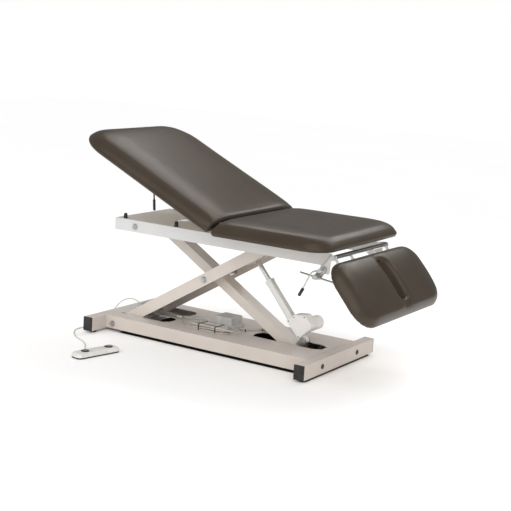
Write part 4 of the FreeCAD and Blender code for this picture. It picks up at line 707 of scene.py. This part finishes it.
def pleated(points, bottom, corners, radius, depth=0.0011, fade=0.024):
    """Pleats at the round corners: the side ripples in and out by depth, as the sine of the way round the
    corner's middle, strongest at the lower edge and halfway round, and gone at fade above the bottom."""
    out = points.copy()
    low = np.clip(1 - (points[:, 2] - bottom) / fade, 0.0, 1.0) * (points[:, 2] > bottom - 0.004)
    middle = np.mean([x for x, y in corners])
    for x, y in corners:
        away = points[:, :2] - (x, y)
        reach = np.hypot(*away.T)
        outside = (away[:, 0] * np.sign(x - middle) > 0) & (away[:, 1] * np.sign(y) > 0)
        rim = np.clip((reach - radius + 0.030) / 0.020, 0.0, 1.0) * outside
        angle = np.arctan2(away[:, 1], away[:, 0])
        ripple = np.sin(angle * radius / 0.0052) * np.sin(angle * 2) ** 2
        out[:, :2] += away / np.maximum(reach, 1e-6)[:, None] * (depth * low * rim * ripple)[:, None]
    return out


rear, front, half, bottom, corner = 0.1365, 0.4900, 0.436, 0.6255, 0.119
drop = slotted_cushion("drop_pad", rear, front, half, corner, bottom, (0.5, 0.6), (0.1915, 0.4085), 0.038)
shape = crowned(swollen(drop, bottom, 0.0012, 0.0065), rear, front, half, bottom, 3.4, crown=0.040)
corner_middles = [(x, y) for x in (0.2555, 0.3710) for y in (-0.317, 0.317)]
shape = pleated(shape, bottom, corner_middles, corner)
placed(drop, shape, bottom, (0.09996, 0.6205), -49.6, vinyl)
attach(drop, "drop_section")
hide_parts("drop_cushion")


# Backrest's gas spring and release lever: black enamelled cylinder and lever, bright rod. The hinge leaves
# get the same black as painted shade, so that they sink into the dark crease between the cushions; the drop
# section's tube and the clamp's rod and lever are chromed like the rod.
black_enamel = moulded("black_enamel", (0.012, 0.012, 0.012), (0.022, 0.021, 0.020), 0.3, 0.00003)
chrome = plated("bright_chrome", (0.52, 0.52, 0.53), (0.64, 0.64, 0.65), 0.12, 0.05)
dress(black_enamel, "gas_spring_cylinder", "release_lever", "seat_hinge_leaves", "backrest_hinge_leaves")
dress(chrome, "gas_spring_rod", "drop_tube", "clamp_rod", "clamp_lever")


# Clamp of the drop section: a cast block turning on the near ear grips the bright rod, and is locked by a
# bent lever with a black dipped grip.
cast = plated("cast_block", (0.50, 0.49, 0.48), (0.64, 0.63, 0.62), 0.42)
dress(cast, "clamp_body")
dress(black_plastic, "clamp_grip")


# Foot switch: off-white shell on a dark rubber sole, two black buttons with grey domes. Its limp cord
# arches out of the junction box, drops off the deck's end and lies on the floor up to the shell.
switch_white = moulded("switch_white", (0.66, 0.65, 0.61), (0.74, 0.73, 0.70), 0.38)
dress(switch_white, "foot_switch_shell")
dress(black_rubber, "foot_switch_base")
dress(black_plastic, "foot_button_down", "foot_button_up")
dome_grey = moulded("dome_grey", (0.16, 0.16, 0.155), (0.22, 0.22, 0.21), 0.4)
dome_section = [(-0.001, 0.0), (-0.001, 0.0135), (0.0006, 0.0132), (0.0018, 0.0115), (0.0026, 0.008),
                (0.0030, 0.003), (0.0030, 0.0)]
button_top = 0.034
for body, x, y in (("button_down", -1.0335, -0.7259), ("button_up", -1.0025, -0.5802)):
    dome = turned(f"{body}_dome", dome_section, (x, y, button_top), (0, 0, 1), dome_grey, body, 40)

down = -84.7    # middle of the cord on the floor, against the deck
foot_route = on_deck([
    (-8, 12, 24), (-34, 0, 46), (-66, -22, 52), (-96, -48, 36), (-118, -74, 0), (-130, -100, -42),
    (-137, -138, -73), (-142, -190, down), (-149, -244, down), (-160, -290, down), (-166, -332, down),
    (-154, -372, down), (-128, -412, down), (-92, -448, down), (-42, -486, down), (16, -512, down),
    (68, -548, down), (104, -590, down), (134, -628, -80.5), (163.6, -656, -74.8), (193.4, -662.4, -74)])
foot_lead = cable("foot_lead", foot_route, 0.006, cable_pale)
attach(foot_lead, "base")
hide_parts("foot_cord")
